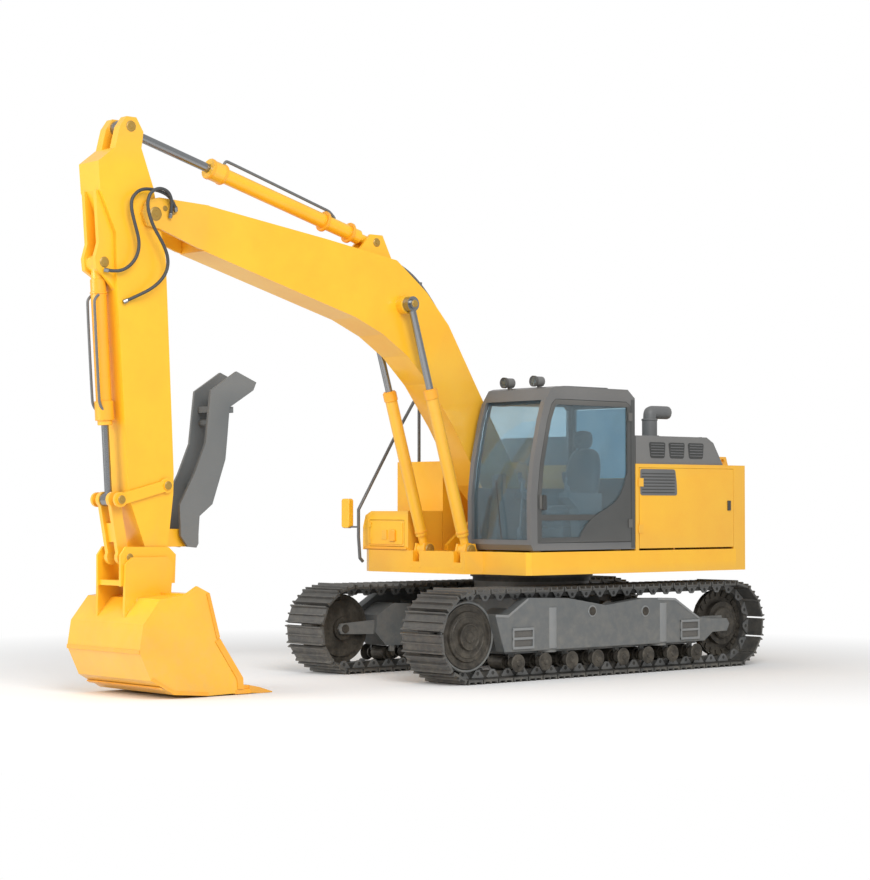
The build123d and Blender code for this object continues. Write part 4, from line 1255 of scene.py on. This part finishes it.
@dataclass
class Digger:
    """Pins, bands, lines, hoses and wear parts on the arm.

    The attributes are the pins' places, forward and up.
    """

    boom_foot: Pair = (350.0, 1720.0)
    boom_nose: Pair = (5120.0, 4560.0)
    boom_eye: Pair = (2040.0, 3880.0)
    boom_cylinder_foot: Pair = (1270.0, 1322.0)
    stick_cylinder_foot: Pair = (2300.0, 4520.0)
    stick_eye: Pair = (5380.0, 5370.0)
    bucket_cylinder_foot: Pair = (5640.0, 4070.0)
    rocker_pin: Pair = (4980.0, 1985.0)
    cross_pin: Pair = (5500.0, 1850.0)
    link_pin: Pair = (5400.0, 1310.0)
    bucket_pin: Pair = (5060.0, 1270.0)

    def build(self) -> None:
        """Adds the pins, then what runs along the arm."""
        self._pins()
        self._cylinder_caps()
        self._steel_lines()
        self._bucket()
        self._hoses()

    def _pins(self) -> None:
        """Stepped pin heads on both sides of each joint."""
        heads: list[tuple[Pair, float, float, str]] = [
            (self.boom_nose, 204, 66, "boom"),
            ((5014, 4620), 204, 26, "boom"),
            ((4922, 4590), 204, 26, "boom"),
            (self.stick_eye, 170, 52, "stick"),
            (self.bucket_cylinder_foot, 125, 50, "stick"),
            (self.rocker_pin, 225, 40, "rocker_links"),
            (self.cross_pin, 225, 40, "rocker_links"),
            (self.link_pin, 213, 36, "bucket"),
            (self.bucket_pin, 213, 36, "bucket"),
            (self.boom_foot, 266, 44, "house"),
            (self.boom_eye, 394, 40, "boom_cylinder_rods"),
            (self.stick_cylinder_foot, 88, 44, "boom"),
        ]
        by_body: dict[str, list[Shape]] = {}
        for (x, z), face, radius, body in heads:
            for sign in (1, -1):
                profile = [(0, 14), (radius * 0.4, 14), (radius * 0.46, 10), (radius * 0.8, 10),
                           (radius, 4), (radius, -3), (0, -3)]
                by_body.setdefault(body, []).append(
                    Bench.turned(profile, (x, sign * face, z), (0, sign, 0)))
        for body, shapes in by_body.items():
            Bench.keep(f"pin_heads_{body}", shapes, Finish.PIN, body)
        x, z = self.boom_cylinder_foot
        profile = [(0, 16), (22, 16), (30, 12), (52, 10), (62, 3), (62, -8), (0, -8)]
        collars = [Bench.turned(profile, (x, y + side * 80, z), (0, side, 0))
                   for y in (330.0, -330.0) for side in (-1, 1)]
        Bench.keep("boom_cylinder_pins", collars, Finish.PIN, "house")

    @staticmethod
    def _along(start: Pair, end: Pair, distance: float, side: float = 0.0) -> Pair:
        """A place on the line from one pin to another, or beside it.

        Args:
            start: the first pin.
            end: the other pin.
            distance: how far along.
            side: how far beside.

        Returns:
            The place, forward and up.
        """
        length = math.dist(start, end)
        ux, uz = (end[0] - start[0]) / length, (end[1] - start[1]) / length
        return (start[0] + ux * distance - uz * side, start[1] + uz * distance + ux * side)

    def _collar(self, start: Pair, end: Pair, near: float, far: float, radius: float, y: float,
                inner: float) -> Shape:
        """A ring round a cylinder.

        Args:
            start: the cylinder's foot.
            end: its eye.
            near: where the ring starts along it.
            far: where the ring ends.
            radius: its outer radius.
            y: the cylinder's place across the machine.
            inner: its inner radius.

        Returns:
            The shape.
        """
        a = self._along(start, end, near)
        direction = (end[0] - start[0], 0, end[1] - start[1])
        length = far - near
        profile = [(inner, 0), (radius - 5, 0), (radius, 5), (radius, length - 5),
                   (radius - 5, length), (inner, length), (inner, 0)]
        return Bench.turned(profile, (a[0], y, a[1]), direction, 40)

    def _cylinder_caps(self) -> None:
        """Glands at the barrels' mouths and bands round the barrels."""
        foot, eye = self.boom_cylinder_foot, self.boom_eye
        glands = [self._collar(foot, eye, near, far, radius, y, 62) for y in (330, -330)
                  for near, far, radius in ((1655, 1750, 74), (190, 215, 70))]
        glands += [self._collar(foot, eye, 1742, 1762, 64, y, 40) for y in (330, -330)]
        Bench.keep("boom_glands", glands, Finish.YELLOW_DEEP, "boom_cylinder_barrels")
        foot, eye = self.stick_cylinder_foot, self.stick_eye
        bands = [self._collar(foot, eye, near, near + 30, radius, 0, 70)
                 for near, radius in ((300, 108), (640, 108), (1965, 106), (2115, 106))]
        Bench.keep("stick_bands", bands, Finish.YELLOW_DEEP, "stick_cylinder_barrel")
        foot, eye = self.bucket_cylinder_foot, self.cross_pin
        bands = [self._collar(foot, eye, near, far, radius, 0, 50)
                 for near, far, radius in ((150, 1300, 74), (268, 292, 81), (1295, 1480, 90),
                                           (1480, 1524, 66))]
        Bench.keep("bucket_bands", bands, Finish.YELLOW_DEEP, "bucket_cylinder_barrel")

    def _steel_lines(self) -> None:
        """Rigid oil lines along the cylinders and on the boom's back."""
        foot, eye = self.stick_cylinder_foot, self.stick_eye

        def route(stations: Sequence[Pair], y: float, start: Pair, end: Pair) -> list[Point]:
            """A pipe's points from places along and beside a cylinder."""
            return [(x, y, z) for x, z in (self._along(start, end, *place) for place in stations)]

        stations = [(1990, 90), (1990, 138), (1930, 142), (700, 118), (610, 116), (540, 70)]
        Bench.pipe("stick_line", route(stations, 20, foot, eye), 15, Finish.HOOD_GREY,
                   "stick_cylinder_barrel")
        foot, eye = self.bucket_cylinder_foot, self.cross_pin
        stations = [(300, 36), (330, 84), (400, 90), (1250, 90), (1340, 84), (1380, 48)]
        for name, y in (("bucket_line_near", 60), ("bucket_line_far", -60)):
            Bench.pipe(name, route(stations, y, foot, eye), 13, Finish.HOOD_GREY,
                       "bucket_cylinder_barrel")
        bends = [(2100, 4330), (1900, 4270), (1600, 4010), (1330, 3640), (1130, 3290), (830, 2840),
                 (420, 2200)]
        for y in (60, 110):
            Bench.pipe(f"boom_line_{y}", [(x, y, z) for x, z in bends], 17, Finish.HOOD_GREY,
                       "boom")
        clamps = [Bench.block((x - 22, 30, z - 30), (x + 22, 140, z + 22), 4)
                  for x, z in ((1740, 4120), (1120, 3280), (700, 2640))]
        Bench.keep("line_clamps", clamps, Finish.HOOD_GREY, "boom")

    def _bucket(self) -> None:
        """Cutting edge, side strips, back bands and tooth adapters."""
        half = 620.0
        edge = Bench.block((4296, -half - 2, 6), (4480, half + 2, 50), 6)
        Bench.keep("bucket_lip", edge, Finish.YELLOW_DEEP, "bucket")
        strips = []
        outlines = (
            [(4384, 52), (4392, 160), (4658, 540), (4716, 516), (4462, 150), (4452, 52)],
            [(4662, 556), (4783, 975), (4816, 962), (4698, 540)],
            [(4790, 10), (5180, 40), (5430, 180), (5408, 208), (5168, 72), (4790, 42)])
        for sign in (1, -1):
            low, high = sorted((sign * (half - 4), sign * (half + 10)))
            strips += [Bench.plate(outline, "Y", low, high, rim=2) for outline in outlines]
        Bench.keep("bucket_side_strips", strips, Finish.YELLOW_DEEP, "bucket")
        bands = [Bench.plate(outline, "Y", -half, half, rim=2) for outline in (
            [(5553, 430), (5553, 470), (5566, 470), (5566, 430)],
            [(5300, 100), (5335, 120), (5342, 108), (5307, 88)])]
        Bench.keep("bucket_back_bands", bands, Finish.YELLOW_DEEP, "bucket")
        outline = [(4296, 86), (4296, 48), (4480, 46), (4440, 90)]
        middles = [(number - 2) * (2 * half - 130) / 4 for number in range(5)]
        adapters = [Bench.plate(outline, "Y", y - 38, y + 38, rim=4) for y in middles]
        Bench.keep("tooth_adapters", adapters, Finish.YELLOW_DEEP, "bucket")

    def _hoses(self) -> None:
        """The two hoses from the boom's nose towards the bucket cylinder."""
        routes = {
            "arm_hose_upper": [
                (4900, 221, 4600), (4925, 240, 4660), (5030, 250, 4765), (5290, 250, 4790),
                (5410, 250, 4704), (5432, 250, 4599), (5385, 250, 4442), (5328, 250, 4267),
                (5360, 250, 4123), (5460, 245, 4015), (5570, 215, 3975), (5655, 146, 3995)],
            "arm_hose_lower": [
                (4970, 221, 4530), (4960, 250, 4650), (5015, 285, 4765), (5135, 300, 4800),
                (5250, 300, 4745), (5285, 300, 4610), (5215, 295, 4430), (5090, 295, 4265),
                (5030, 295, 4116), (5065, 295, 3975), (5185, 275, 3849), (5350, 232, 3760),
                (5470, 189, 3700)],
        }
        fitting_length = 46
        ends = []
        for route in routes.values():
            for place, towards in ((route[0], route[1]), (route[-1], route[-2])):
                step = (Vector(towards) - Vector(place)).normalized() * fitting_length
                ends.append(Bench.rod(place, tuple(Vector(place) + step), 21, 3, 12))
        Bench.keep("hose_fittings", ends, Finish.ROD, "boom")
        for name, route in routes.items():
            hose = Bench.line(name, route, 16.0)
            hose.data.materials.append(WORKSHOP.finish(Finish.RUBBER))
            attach(hose, "boom")


def dress_cad() -> None:
    """Gives every CAD node its finish, and the listed ones softened edges."""
    soft = {"boom": 6, "stick": 5, "bucket": 5, "coupler": 4, "thumb": 4, "counterweight": 22,
            "main_frame": 10, "cab_shell": 14, "cab_door": 8, "engine_hood": 16, "fuel_tank": 14,
            "tool_box": 12, "service_door_left": 7, "service_door_right": 7, "track_frame_left": 6,
            "track_frame_right": 6, "swing_bearing": 4, "cab_console": 14, "car_body": 6,
            "rocker_links": 3, "power_link": 3}
    for name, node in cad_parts.items():
        finish = CAD_FINISHES.get(name, Finish.YELLOW)
        node.data.materials.clear()
        node.data.materials.append(WORKSHOP.finish(finish))
        if name in soft:
            bevel = node.modifiers.new("softened_edges", "BEVEL")
            bevel.width = soft[name] / 1000
            bevel.segments = 2
            bevel.limit_method = "ANGLE"
            bevel.angle_limit = math.radians(38)
            bevel.use_clamp_overlap = True


def main() -> None:
    """Builds the machine's looks and the studio in order."""
    Studio().build()
    dress_cad()
    for section in (Digger(), Track("left", 1), Track("right", -1), House(), Cab()):
        section.build()
        log.info("dressed the %s", type(section).__name__.lower())


if __name__ == "__main__":
    main()
